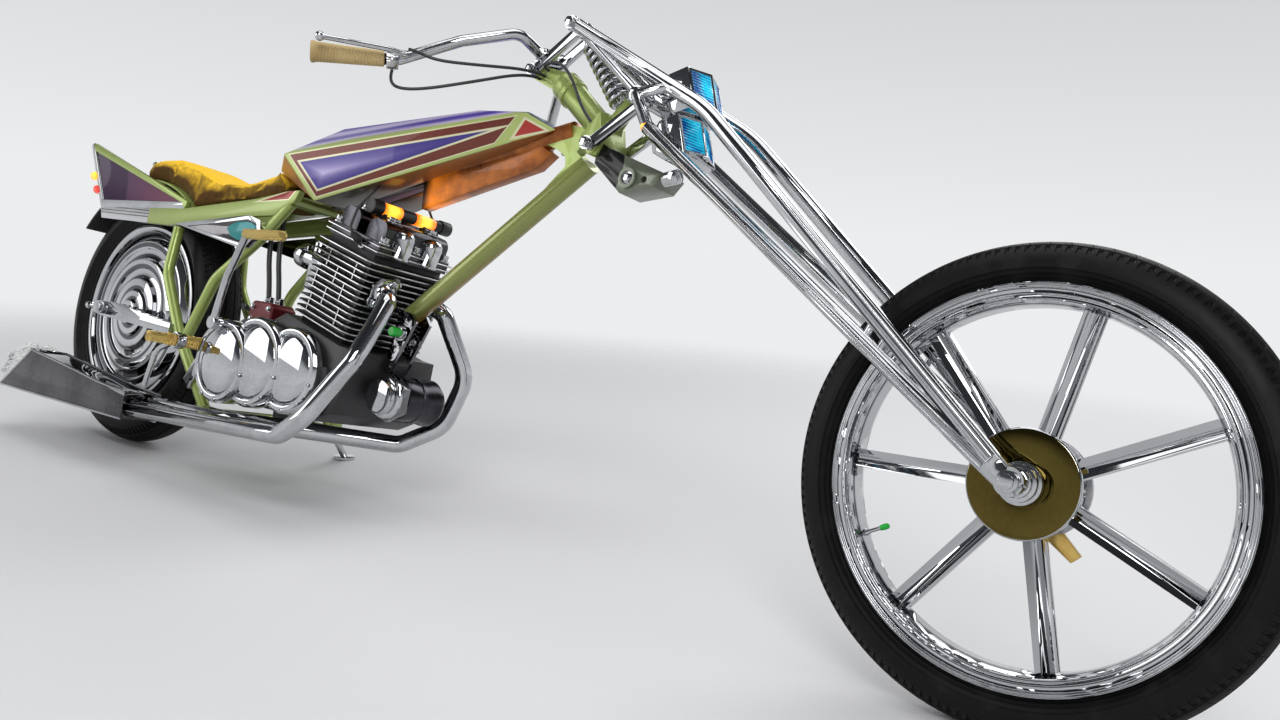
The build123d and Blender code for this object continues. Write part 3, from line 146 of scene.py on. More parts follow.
class Field:
    """A node socket on which arithmetic adds nodes."""

    def __init__(self, tree: "Tree", socket: bpy.types.NodeSocket) -> None:
        """Keeps the tree and one of its output sockets."""
        self.tree = tree
        self.socket = socket

    def _with(self, operation: str, *others: "Field | float") -> "Field":
        """Adds a Math node of this value and others."""
        values = {index + 1: other for index, other in enumerate(others)}
        return self.tree.add("ShaderNodeMath", {"operation": operation}, {0: self, **values})

    def __add__(self, other: "Field | float") -> "Field":
        """The sum."""
        return self._with("ADD", other)

    __radd__ = __add__

    def __sub__(self, other: "Field | float") -> "Field":
        """The difference."""
        return self._with("SUBTRACT", other)

    def __rsub__(self, other: float) -> "Field":
        """A number less this value."""
        return self.tree.add("ShaderNodeMath", {"operation": "SUBTRACT"}, {0: other, 1: self})

    def __mul__(self, other: "Field | float") -> "Field":
        """The product."""
        return self._with("MULTIPLY", other)

    __rmul__ = __mul__

    def __truediv__(self, other: "Field | float") -> "Field":
        """The quotient."""
        return self._with("DIVIDE", other)

    def lower(self, other: "Field | float") -> "Field":
        """The smaller of two values."""
        return self._with("MINIMUM", other)

    def upper(self, other: "Field | float") -> "Field":
        """The larger of two values."""
        return self._with("MAXIMUM", other)

    def clamped(self) -> "Field":
        """The value held between 0 and 1."""
        return self.upper(0.0).lower(1.0)

    def absolute(self) -> "Field":
        """The value without its sign."""
        return self._with("ABSOLUTE")

    def sine(self) -> "Field":
        """The sine."""
        return self._with("SINE")

    def power(self, other: float) -> "Field":
        """The value raised to a power."""
        return self._with("POWER", other)

    def angle(self, across: "Field") -> "Field":
        """The angle of a point with this height at a distance across."""
        return self._with("ARCTAN2", across)

    def reach(self, up: "Field") -> "Field":
        """The distance of a point with this distance across at a height."""
        return (self * self + up * up).power(0.5)

    def saw(self, step: float) -> "Field":
        """Distance to the nearest multiple of a step."""
        return self._with("PINGPONG", step / 2)

    def above(self, edge: float, soft: float) -> "Field":
        """A mask that rises from 0 to 1 across an edge; soft is half the width of the rise."""
        sockets = {"Value": self, "From Min": edge - soft, "From Max": edge + soft}
        return self.tree.add("ShaderNodeMapRange", {"interpolation_type": "SMOOTHSTEP"}, sockets)

    def below(self, edge: float, soft: float) -> "Field":
        """A mask that falls from 1 to 0 across an edge."""
        return 1.0 - self.above(edge, soft)


class Tree:
    """The node tree of a material or the world, with one way to add a node."""

    def __init__(self, owner: bpy.types.Material | bpy.types.World, stance: Stance | None = None) -> None:
        """Turns the nodes on.

        Args:
            owner: the new material or world.
            stance: how the machine stands, for patterns that follow its shape.
        """
        owner.use_nodes = True
        self.owner = owner
        self.stance = stance
        self.nodes = owner.node_tree.nodes
        self.links = owner.node_tree.links
        self.shader = next((node for node in self.nodes if node.type == "BSDF_PRINCIPLED"), None)

    def add(self, kind: str, settings: dict, sockets: dict, output: int | str = 0) -> Field | None:
        """Adds a node.

        Args:
            kind: the node's type.
            settings: its own settings, set first; "stops" lists a ramp's (place, colour).
            sockets: values or fields by input name or index.
            output: which output to return.

        Returns:
            The output as a field, where the node has one.
        """
        node = self.nodes.new(kind)
        for key, value in settings.items():
            if key == "stops":
                self._set_stops(node.color_ramp, value)
            else:
                setattr(node, key, value)
        for key, value in sockets.items():
            self._set(node.inputs[key], value)
        return Field(self, node.outputs[output]) if node.outputs else None

    @staticmethod
    def _set_stops(ramp: bpy.types.ColorRamp, stops: list[tuple[float, Colour]]) -> None:
        """Gives a ramp its stops.

        Args:
            ramp: a new ramp.
            stops: the place and the colour of each.
        """
        while len(ramp.elements) < len(stops):
            ramp.elements.new(0.5)
        for element, (place, colour) in zip(ramp.elements, stops):
            element.position = place
            element.color = (*colour, 1.0)

    def _set(self, socket: bpy.types.NodeSocket, value: object) -> None:
        """Fills an input socket.

        Args:
            socket: the input.
            value: a field to link, or a plain value.
        """
        if isinstance(value, Field):
            self.links.new(value.socket, socket)
        elif socket.type == "RGBA":
            socket.default_value = (*value, 1.0)
        else:
            socket.default_value = value

    def set(self, **sockets: object) -> None:
        """Sets the shader's sockets; underscores in a name stand for spaces."""
        for key, value in sockets.items():
            self._set(self.shader.inputs[key.replace("_", " ")], value)

    def place(self) -> Field:
        """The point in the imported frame, in metres."""
        return self.add("ShaderNodeTexCoord", {}, {}, "Object")

    def upright(self) -> tuple[Field, ...]:
        """The point's coordinates on the upright machine, in metres."""
        sockets = {"Vector": self.place(), "Location": self.stance.back.to_translation(),
                   "Rotation": self.stance.back.to_euler()}
        return self.axes(self.add("ShaderNodeMapping", {}, sockets))

    def axes(self, vector: Field) -> tuple[Field, ...]:
        """The three coordinates of a vector."""
        first = self.add("ShaderNodeSeparateXYZ", {}, {0: vector})
        return tuple(Field(self, out) for out in first.socket.node.outputs)

    def facing_up(self) -> Field:
        """How far the surface faces up, from -1 to 1."""
        return self.axes(self.add("ShaderNodeNewGeometry", {}, {}, "Normal"))[2]

    def noise(self, vector: Field, scale: float, detail: float = 3.0, rough: float = 0.55) -> Field:
        """Smooth noise from 0 to 1."""
        sockets = {"Vector": vector, "Scale": scale, "Detail": detail, "Roughness": rough}
        return self.add("ShaderNodeTexNoise", {}, sockets)

    def cells(self, vector: Field, scale: float) -> Field:
        """Distance to the nearest of many scattered points."""
        return self.add("ShaderNodeTexVoronoi", {}, {"Vector": vector, "Scale": scale})

    def flake(self, scale: float, edge: float = 0.35) -> Field:
        """Fine flake as a mask."""
        return self.cells(self.place(), scale).above(edge, 0.25)

    def mix(self, share: Field | float, first: object, second: object) -> Field:
        """A blend of two colours; the share is how much of the second one it has."""
        return self.add("ShaderNodeMix", {"data_type": "RGBA"}, {0: share, 6: first, 7: second}, 2)

    def bump(self, height: Field, distance: float) -> Field:
        """A normal from a height field, with the height of 1 in metres as distance."""
        return self.add("ShaderNodeBump", {}, {"Height": height, "Distance": distance, "Strength": 1.0})


# Finishes


@dataclass(frozen=True)
class Finish:
    """A material of a given name, which its dress method sets up."""

    name: str

    def build(self, stance: Stance) -> bpy.types.Material:
        """Makes the material.

        Args:
            stance: how the machine stands.

        Returns:
            The material.
        """
        tree = Tree(bpy.data.materials.new(self.name), stance)
        self.dress(tree)
        return tree.owner

    def dress(self, tree: Tree) -> None:
        """Sets the look; each finish has its own."""
        raise NotImplementedError


def highest(fields: Iterable[Field]) -> Field:
    """The largest of some values."""
    return functools.reduce(Field.upper, fields)


@dataclass(frozen=True)
class Chrome(Finish):
    """Mirror chrome with faint smears and a slight waviness."""

    name: str = "chrome"
    colour: Colour = (0.52, 0.53, 0.545)
    smear: Colour = (0.38, 0.39, 0.405)
    roughness: float = 0.03
    wave: float = 0.00001

    def dress(self, tree: Tree) -> None:
        """Sets the look.

        Args:
            tree: the material's tree.
        """
        place = tree.place()
        cloud = tree.noise(place, 9.0, 4.0)
        fine = tree.noise(place, 160.0, 2.0)
        worn = (cloud * 0.7 + fine * 0.3).above(0.55, 0.16)
        tree.set(Base_Color=tree.mix(worn, self.colour, self.smear), Metallic=1.0)
        tree.set(Roughness=worn * 0.05 + self.roughness)
        tree.set(Normal=tree.bump(tree.noise(place, 26.0, 1.0), self.wave))


@dataclass(frozen=True)
class CandyPaint(Finish):
    """Clear coated metallic paint with fine flake."""

    colour: Colour
    deep: Colour
    metallic: float = 0.45
    roughness: float = 0.28
    coat: float = 0.4
    gloss: float = 0.12

    def dress(self, tree: Tree) -> None:
        """Sets the look.

        Args:
            tree: the material's tree.
        """
        place = tree.place()
        flake = tree.flake(2600.0)
        tone = tree.noise(place, 5.0, 2.0)
        base = tree.mix(tone * 0.55 + flake * 0.25, self.colour, self.deep)
        tree.set(Base_Color=base, Metallic=self.metallic, Roughness=flake * 0.08 + self.roughness)
        tree.set(Coat_Weight=self.coat, Coat_Roughness=0.03, Specular_IOR_Level=self.gloss)
        tree.set(Normal=tree.bump(tree.noise(place, 90.0, 2.0), 0.00003))


@dataclass(frozen=True)
class LitShadedPaint(Finish):
    """Clear coated olive paint with painted light: a painted copper reflection on the faces that look down
    and a painted highlight on those that look up.
    """

    name: str = "olive_fade"
    colour: Colour = (0.19, 0.21, 0.055)
    # the painted copper reflection on downward faces, and the painted highlight colour on upward faces
    under: Colour = (0.26, 0.09, 0.02)
    lit: Colour = (0.34, 0.40, 0.13)

    def dress(self, tree: Tree) -> None:
        """Sets the look.

        Args:
            tree: the material's tree.
        """
        up = tree.facing_up()
        # painted light by face direction: copper reflection below, highlight above
        base = tree.mix(up.above(-0.80, 0.22), self.under, self.colour)
        base = tree.mix(up.above(0.55, 0.35), base, self.lit)
        flake = tree.flake(2600.0)
        tree.set(Base_Color=tree.mix(flake * 0.15, base, self.lit), Metallic=0.45)
        tree.set(Roughness=flake * 0.08 + 0.26, Specular_IOR_Level=0.15)
        tree.set(Coat_Weight=0.7, Coat_Roughness=0.03)


@dataclass(frozen=True)
class Metal(Finish):
    """Satin, cast or brushed metal."""

    colour: Colour
    shade: Colour
    roughness: float = 0.3
    grain: float = 400.0
    depth: float = 0.0001
    metallic: float = 1.0

    def dress(self, tree: Tree) -> None:
        """Sets the look.

        Args:
            tree: the material's tree.
        """
        place = tree.place()
        fine = tree.noise(place, self.grain, 3.0)
        cloud = tree.noise(place, 14.0, 3.0)
        tree.set(Base_Color=tree.mix((cloud * 0.6 + fine * 0.4).above(0.5, 0.2), self.colour, self.shade))
        tree.set(Metallic=self.metallic, Roughness=cloud * 0.16 + self.roughness - 0.08)
        tree.set(Normal=tree.bump(fine, self.depth))


@dataclass(frozen=True)
class Rubber(Finish):
    """Tyre rubber: slits across the ribs, fine rings on the wall and a little dust."""

    front: bool
    blocks: int
    tread_r: float
    wall_r: float
    colour: Colour = (0.005, 0.005, 0.0055)
    dust: Colour = (0.016, 0.0155, 0.015)

    def dress(self, tree: Tree) -> None:
        """Sets the look.

        Args:
            tree: the material's tree.
        """
        place = tree.place()
        hub = tree.stance.front_hub if self.front else tree.stance.rear_hub
        x, y, z = tree.upright()
        across, up = x - hub.x, z - hub.z
        radius = across.reach(up)
        turn = up.angle(across)
        slant = turn * (self.blocks / math.tau) + y.absolute() * 16.0
        slit = slant.saw(1.0).below(0.05, 0.02)
        on_tread = radius.above(self.tread_r, 0.002)
        rings = (radius * 900.0).sine() * radius.above(self.wall_r, 0.001)
        rings = rings * radius.below(self.wall_r + 0.012, 0.001)
        grain = tree.noise(place, 900.0, 2.0)
        height = grain * 0.05 - slit * on_tread + rings * 0.12
        dusty = tree.noise(place, 22.0, 5.0).above(0.62, 0.14)
        tree.set(Base_Color=tree.mix(dusty * 0.5, self.colour, self.dust))
        tree.set(Roughness=dusty * 0.2 + on_tread * 0.12 + 0.42, Normal=tree.bump(height, 0.0025))
        tree.set(Specular_IOR_Level=0.12)


@dataclass(frozen=True)
class Knurl(Finish):
    """Gold metal rolled with a crossed knurl about an axis across or along the machine."""

    name: str = "gold_knurl"
    axis: Flat = (0.468, 0.292)
    lengthwise: bool = False
    colour: Colour = (1.0, 0.80, 0.30)
    shade: Colour = (0.66, 0.42, 0.09)
    teeth: int = 22
    pitch: float = 0.0042

    def dress(self, tree: Tree) -> None:
        """Sets the look.

        Args:
            tree: the material's tree.
        """
        x, y, z = tree.upright()
        across, along = (y, x) if self.lengthwise else (x, y)
        turn = (z - self.axis[1]).angle(across - self.axis[0])
        around, along = turn * float(self.teeth), along * (math.tau / self.pitch)
        cross = (around + along).sine() * (around - along).sine()
        tree.set(Base_Color=tree.mix(cross.above(0.0, 0.6), self.shade, self.colour), Metallic=1.0)
        tree.set(Roughness=tree.noise(tree.place(), 60.0) * 0.15 + 0.16, Normal=tree.bump(cross, 0.0011))


@dataclass(frozen=True)
class Lens(Finish):
    """A lit blue lens, fluted across, with cyan painted highlights towards its middle and along the flutes.
    """

    name: str = "blue_lens"
    deep: Colour = (0.0, 0.015, 0.15)
    blue: Colour = (0.0, 0.10, 0.36)
    cyan: Colour = (0.02, 0.50, 0.74)
    flute: float = 0.0052
    strength: float = 0.62

    def dress(self, tree: Tree) -> None:
        """Sets the look.

        Args:
            tree: the material's tree.
        """
        _, y, z = tree.upright()
        flutes = (z * (math.tau / self.flute)).sine() * 0.5 + 0.5
        cloud = tree.noise(tree.place(), 24.0, 2.0)
        # where the cyan painted highlights go
        bright = (cloud * 1.5 - y.absolute() * 8.0 + flutes * 0.34).above(0.72, 0.30)
        tone = tree.mix(bright, tree.mix(flutes * 0.6, self.deep, self.blue), self.cyan)
        tree.set(Base_Color=tone, Emission_Color=tone, Emission_Strength=self.strength, Roughness=0.08)
        tree.set(Coat_Weight=0.25, Coat_Roughness=0.02, Specular_IOR_Level=0.15)
        tree.set(Normal=tree.bump(flutes, 0.0012))


@dataclass(frozen=True)
class NeckPaint(Finish):
    """Silver-green paint with a black sweep at the rear of the neck box."""

    name: str = "neck_paint"
    silver: Colour = (0.17, 0.19, 0.145)
    shade: Colour = (0.095, 0.11, 0.08)
    black: Colour = (0.008, 0.009, 0.008)
    sweep: Flat = (1.392, 0.768)
    reach: float = 0.072

    def dress(self, tree: Tree) -> None:
        """Sets the look.

        Args:
            tree: the material's tree.
        """
        x, _, z = tree.upright()
        across, up = x - self.sweep[0], z - self.sweep[1]
        far = (across * across + up * up * 0.7).power(0.5)
        tone = tree.mix(tree.noise(tree.place(), 12.0), self.silver, self.shade)
        tree.set(Base_Color=tree.mix(far.above(self.reach, 0.0006), self.black, tone), Metallic=0.5)
        tree.set(Roughness=tree.noise(tree.place(), 300.0) * 0.1 + 0.24)
        tree.set(Coat_Weight=0.35, Coat_Roughness=0.03, Specular_IOR_Level=0.12)


@dataclass(frozen=True)
class SmokedPanel(Finish):
    """The fins' dark violet panel, which pales to rose towards the front."""

    name: str = "violet_panel"
    dark: Colour = (0.010, 0.003, 0.026)
    rose: Colour = (0.15, 0.035, 0.065)
    grey: Colour = (0.028, 0.018, 0.060)
    # the middle and the radius of the sweep where the smoke ends
    centre: Flat = (-0.235, 0.62)
    sweep: float = 0.145

    def dress(self, tree: Tree) -> None:
        """Sets the look.

        Args:
            tree: the material's tree.
        """
        x, _, z = tree.upright()
        sweep = (x - self.centre[0]).reach(z - self.centre[1]).above(self.sweep, 0.004)
        tone = tree.mix(((x + 0.15) * 3.2).clamped(), self.grey, self.rose)
        flake = tree.flake(1800.0, 0.4)
        tree.set(Base_Color=tree.mix(flake * 0.12, tree.mix(sweep, self.dark, tone), self.rose))
        tree.set(Metallic=0.3, Roughness=flake * 0.1 + 0.20, Coat_Weight=0.22, Coat_Roughness=0.02)
        tree.set(Specular_IOR_Level=0.1)


@dataclass(frozen=True)
class Velvet(Finish):
    """Crushed gold velvet whose nap catches light at the edges through the shader, with painted light: gold
    where it faces up, painted shade on its sides and painted glints of light on the top.
    """

    name: str = "gold_velvet"
    colour: Colour = (0.80, 0.48, 0.022)
    shade: Colour = (0.075, 0.034, 0.005)
    light: Colour = (1.0, 0.76, 0.14)

    def dress(self, tree: Tree) -> None:
        """Sets the look.

        Args:
            tree: the material's tree.
        """
        place = tree.place()
        crush = tree.noise(place, 60.0, 5.0, 0.65)
        nap = tree.noise(place, 1500.0, 2.0)
        up = tree.facing_up()
        # painted top light: faces that look up take the gold colour, the sides the painted shade colour
        painted_top_light = (up + crush * 0.75).above(0.80, 0.42)
        base = tree.mix(painted_top_light, self.shade, self.colour)
        # painted glints of the light colour, only on the lit top
        base = tree.mix(nap.above(0.62, 0.1) * 0.35 * painted_top_light, base, self.light)
        tree.set(Base_Color=base, Roughness=0.85, Sheen_Weight=0.2, Sheen_Roughness=0.35)
        tree.set(Sheen_Tint=(1.0, 0.72, 0.25), Normal=tree.bump(crush * 0.7 + nap * 0.3, 0.0010))
        tree.set(Specular_IOR_Level=0.2)


@dataclass(frozen=True)
class Glow(Finish):
    """A lit lens: tinted plastic with light behind it."""

    colour: Colour
    light: Colour
    strength: float
    spread: float = 60.0

    def dress(self, tree: Tree) -> None:
        """Sets the look.

        Args:
            tree: the material's tree.
        """
        place = tree.place()
        cloud = tree.noise(place, self.spread, 2.0)
        tree.set(Base_Color=tree.mix(cloud, self.colour, self.light), Roughness=0.12, Coat_Weight=0.6)
        tree.set(Emission_Color=tree.mix(cloud.above(0.5, 0.25), self.colour, self.light))
        tree.set(Emission_Strength=self.strength)
        tree.set(Normal=tree.bump(tree.cells(place, 420.0), 0.0004))


def depth_in(x: Field, z: Field, outline: tuple[Flat, ...]) -> Field:
    """How far inside a convex outline a point lies.

    Args:
        x: the point's distance along the machine.
        z: its height.
        outline: the corners as (x, z).

    Returns:
        The depth in metres, negative outside.
    """
    centre_x = sum(point[0] for point in outline) / len(outline)
    centre_z = sum(point[1] for point in outline) / len(outline)
    inside = None
    for (x0, z0), (x1, z1) in zip(outline, outline[1:] + outline[:1]):
        run = math.hypot(x1 - x0, z1 - z0)
        a, b = (z1 - z0) / run, -(x1 - x0) / run
        if (centre_x - x0) * a + (centre_z - z0) * b < 0:
            a, b = -a, -b
        reach = x * a + z * b - (x0 * a + z0 * b)
        inside = reach if inside is None else inside.lower(reach)
    return inside


@dataclass(frozen=True)
class TankPaint(Finish):
    """The tank's panels: lime edges, a red band, cream lines, a blue panel and a lilac crown."""

    name: str = "tank_paint"
    lime: Colour = (0.36, 0.44, 0.14)
    red: Colour = (0.11, 0.002, 0.004)
    cream: Colour = (0.60, 0.58, 0.38)
    blue: Colour = (0.022, 0.008, 0.20)
    lilac: Colour = (0.42, 0.36, 0.60)
    nose_red: Colour = (0.34, 0.005, 0.010)
    crown: Colour = (0.50, 0.42, 0.62)
    violet: Colour = (0.040, 0.010, 0.32)
    navy: Colour = (0.006, 0.035, 0.085)
    copper: Colour = (0.30, 0.10, 0.025)
    # painted shade on the belly's rear, away from the tube lamp
    painted_belly_shade: Colour = (0.020, 0.012, 0.008)
    # outlines on the tank's side as (x, z) on the upright machine
    band: tuple[Flat, ...] = ((0.603, 0.742), (1.196, 0.851), (1.158, 0.797), (0.709, 0.655))
    panel: tuple[Flat, ...] = ((0.634, 0.729), (1.170, 0.829), (0.708, 0.669))
    facet: tuple[Flat, ...] = ((1.222, 0.860), (1.276, 0.836), (1.189, 0.798))
    nose: tuple[Flat, ...] = ((1.219, 0.849), (1.262, 0.832), (1.197, 0.808))
    # the three runs of its underside as (x, z, slope)
    belly: tuple[Point, ...] = ((0.705, 0.646, 0.314), (1.189, 0.798, 0.437), (0.705, 0.646, -0.391))
    line: float = 0.0022
    # the tank's rear end and its half width there, and how its side closes in towards the front
    rear: Flat = (0.585, 0.743)
    rear_half: float = 0.119
    taper: float = 0.104
    # the slope of the rear facet's edge as a unit vector
    rear_way: Flat = (0.629, 0.778)
    # violet streaks as the place across, the half width and the softness, as shares of the half width
    streaks: tuple[Point, ...] = ((0.40, 0.09, 0.06), (0.12, 0.06, 0.04), (0.74, 0.08, 0.06))

    def dress(self, tree: Tree) -> None:
        """Sets the look.

        Args:
            tree: the material's tree.
        """
        x, y, z = tree.upright()
        across = y.absolute()
        inset = across + (x - self.rear[0]) * self.taper - self.rear_half
        facet = depth_in(x, z, self.facet).above(0.0006, 0.0004)
        flank = inset.above(-0.0025, 0.0004).upper(facet)
        top = self.hidden_colours(tree, x, z, self.top_colours(tree, x, across))
        base = tree.mix(flank, top, self.side_colours(tree, x, z))
        flake = tree.flake(2400.0)
        tree.set(Base_Color=tree.mix(flake * 0.08, base, self.cream), Metallic=0.2)
        tree.set(Roughness=flake * 0.08 + 0.25, Specular_IOR_Level=0.08)
        tree.set(Coat_Weight=0.3, Coat_Roughness=0.02)
        tree.set(Normal=tree.bump(tree.noise(tree.place(), 70.0, 1.0), 0.00003))

    def side_colours(self, tree: Tree, x: Field, z: Field) -> Field:
        """The flat side: a dark red band, the blue panel with a painted lilac highlight towards its rear, and
        the red nose, each in a cream line.

        Args:
            tree: the material's tree.
            x: distance along the machine.
            z: height.

        Returns:
            The colour.
        """
        outlines = (self.band, self.panel, self.nose)
        band, panel, nose = (depth_in(x, z, outline) for outline in outlines)
        base = tree.mix(band.above(0.0, 0.0003), self.lime, self.red)
        base = tree.mix(band.above(-self.line, 0.0003) * band.below(0.0, 0.0003), base, self.cream)
        # a painted lilac highlight in the middle of the blue panel, strongest towards its rear
        painted_sheen = (panel / 0.034).lower(1.0).power(2.2) * (1.0 - (x - 0.63) / 0.46).upper(0.0)
        base = tree.mix(panel.above(0.0, 0.0003), base, tree.mix(painted_sheen, self.blue, self.lilac))
        base = tree.mix(panel.absolute().above(self.line, 0.0003), self.cream, base)
        base = tree.mix(nose.above(0.0, 0.0003), base, self.nose_red)
        return tree.mix(nose.absolute().above(self.line, 0.0003), self.cream, base)

    def hidden_colours(self, tree: Tree, x: Field, z: Field, base: Field) -> Field:
        """The belly, copper near the tube lamp as a painted reflection of its glow and dark towards the rear
        as painted shade, and the copper facets at the rear.

        Args:
            tree: the material's tree.
            x: distance along the machine.
            z: height.
            base: the colour of the rest.

        Returns:
            The colour.
        """
        lowest = highest((x - x0) * slope + z0 for x0, z0, slope in self.belly)
        # painted light on the belly: copper reflection of the lamp's glow in front, painted shade behind
        belly = tree.mix(x.above(0.900, 0.090), self.painted_belly_shade, self.copper)
        base = tree.mix((z - lowest).above(0.004, 0.0004), belly, base)
        ahead = (x - self.rear[0]) * self.rear_way[0] + (z - self.rear[1]) * self.rear_way[1]
        return tree.mix(ahead.above(-0.002, 0.0004), self.copper, base)

    def top_colours(self, tree: Tree, x: Field, across: Field) -> Field:
        """The crown's lilac facets with violet streaks, lime rims and a navy front facet.

        Args:
            tree: the material's tree.
            x: distance along the machine.
            across: distance from its middle.

        Returns:
            The colour.
        """
        share = across / (self.rear_half - (x - self.rear[0]) * self.taper)
        streak = highest((share - at).absolute().below(half, soft) for at, half, soft in self.streaks)
        tone = tree.mix(((x - 0.6) / 0.6).clamped(), self.lilac, self.crown)
        base = tree.mix(streak, tone, self.violet)
        base = tree.mix(share.above(0.90, 0.004), base, self.lime)
        return tree.mix((x - 1.214 + across * 0.1).above(0.0, 0.001), base, self.navy)


@dataclass(frozen=True)
class RailPaint(Finish):
    """The seat rails: lime, a red wedge in a cream line at the tank, and lined bright metal at the rear."""

    name: str = "rail_paint"
    lime: Colour = (0.25, 0.32, 0.085)
    red: Colour = (0.22, 0.004, 0.008)
    cream: Colour = (0.60, 0.58, 0.38)
    bright: Colour = (0.56, 0.57, 0.60)
    dark: Colour = (0.03, 0.03, 0.035)
    wedge: tuple[Flat, ...] = ((0.490, 0.634), (0.632, 0.672), (0.606, 0.645))
    line: float = 0.0026
    bright_to: float = 0.052
    lines_at: tuple[float, ...] = (0.574, 0.582, 0.590)

    def dress(self, tree: Tree) -> None:
        """Sets the look.

        Args:
            tree: the material's tree.
        """
        x, _, z = tree.upright()
        wedge = depth_in(x, z, self.wedge)
        base = tree.mix(wedge.above(0.0, 0.0003), self.lime, self.red)
        base = tree.mix(wedge.absolute().above(self.line / 2, 0.0003), self.cream, base)
        metal = x.below(self.bright_to, 0.0006)
        groove = highest((z - height).absolute().below(0.0011, 0.0004) for height in self.lines_at)
        base = tree.mix(metal, base, tree.mix(groove, self.bright, self.dark))
        flake = tree.flake(2400.0)
        tree.set(Base_Color=tree.mix(flake * 0.06, base, self.cream), Metallic=metal * 0.7 + 0.3)
        tree.set(Roughness=flake * 0.06 + 0.25 - metal * 0.2, Specular_IOR_Level=0.15)
        tree.set(Coat_Weight=0.35, Coat_Roughness=0.02, Normal=tree.bump(1.0 - groove * metal, 0.0012))


@dataclass(frozen=True)
class CopperGlow(Finish):
    """The copper top tube and its panel, with painted shade at the rear and a painted glow, given as
    emission, for the tube lamp's light from below.
    """

    name: str = "copper_glow"
    copper: Colour = (0.42, 0.13, 0.022)
    deep: Colour = (0.15, 0.042, 0.008)
    # the painted shade colour at the rear, and the painted lamp light given as emission
    dark: Colour = (0.012, 0.008, 0.006)
    light: Colour = (1.0, 0.26, 0.012)
    lamp: Flat = (0.968, 0.680)
    reach: float = 0.105

    def dress(self, tree: Tree) -> None:
        """Sets the look.

        Args:
            tree: the material's tree.
        """
        x, _, z = tree.upright()
        far = (x - self.lamp[0]).reach(z - self.lamp[1]) / self.reach
        cloud = tree.noise(tree.place(), 30.0, 4.0)
        # painted lamp glow: emission on the panel, strongest near the tube lamp
        painted_lamp_glow = (1.0 - far + (cloud - 0.5) * 0.5).clamped().power(1.4) * x.above(0.950, 0.014)
        base = tree.mix(cloud.above(0.5, 0.3), self.deep, self.copper)
        # the rear in painted shade
        base = tree.mix(x.above(0.952, 0.016), self.dark, base)
        tree.set(Base_Color=base, Metallic=0.55, Roughness=cloud * 0.12 + 0.24, Specular_IOR_Level=0.2)
        tree.set(Emission_Color=tree.mix(painted_lamp_glow, (0.0, 0.0, 0.0), self.light), Emission_Strength=0.9)
        tree.set(Coat_Weight=0.35, Coat_Roughness=0.03)


@dataclass(frozen=True)
class RingChrome(Finish):
    """Chrome turned with fine rings about a wheel's axle, drawn as bright and dark colour bands; the dark
    bands are painted reflections, not hollows.
    """

    front: bool
    pitch: float
    bright: Colour = (0.52, 0.53, 0.545)
    dark: Colour = (0.10, 0.10, 0.11)
    well_r: float = 0.2535

    def dress(self, tree: Tree) -> None:
        """Sets the look.

        Args:
            tree: the material's tree.
        """
        hub = tree.stance.front_hub if self.front else tree.stance.rear_hub
        x, _, z = tree.upright()
        radius = (x - hub.x).reach(z - hub.z)
        rings = (radius * (math.tau / self.pitch)).sine()
        if self.front:
            rings = rings * radius.above(self.well_r, 0.0005)
        cloud = tree.noise(tree.place(), 9.0, 4.0)
        # the dark colour bands are painted reflections
        tree.set(Base_Color=tree.mix(rings.above(0.25, 0.45), self.bright, self.dark), Metallic=1.0)
        tree.set(Roughness=cloud * 0.04 + 0.02)


@dataclass(frozen=True)
class TubeGlow(Finish):
    """The tube lamp's amber glass: yellow in the middle of each segment, orange to its ends."""

    name: str = "tube_amber"
    yellow: Colour = (1.0, 0.56, 0.05)
    orange: Colour = (0.95, 0.16, 0.004)
    middles: Flat = (-0.022, 0.073)
    reach: float = 0.026
    strength: float = 1.5

    def dress(self, tree: Tree) -> None:
        """Sets the look.

        Args:
            tree: the material's tree.
        """
        _, y, _ = tree.upright()
        near = (y - self.middles[0]).absolute().lower((y - self.middles[1]).absolute()) / self.reach
        cloud = tree.noise(tree.place(), 70.0, 2.0)
        tone = tree.mix((near + cloud * 0.5).above(0.85, 0.45), self.yellow, self.orange)
        tree.set(Base_Color=tone, Emission_Color=tone, Roughness=0.10, Emission_Strength=self.strength)
        tree.set(Coat_Weight=0.4, Coat_Roughness=0.02)


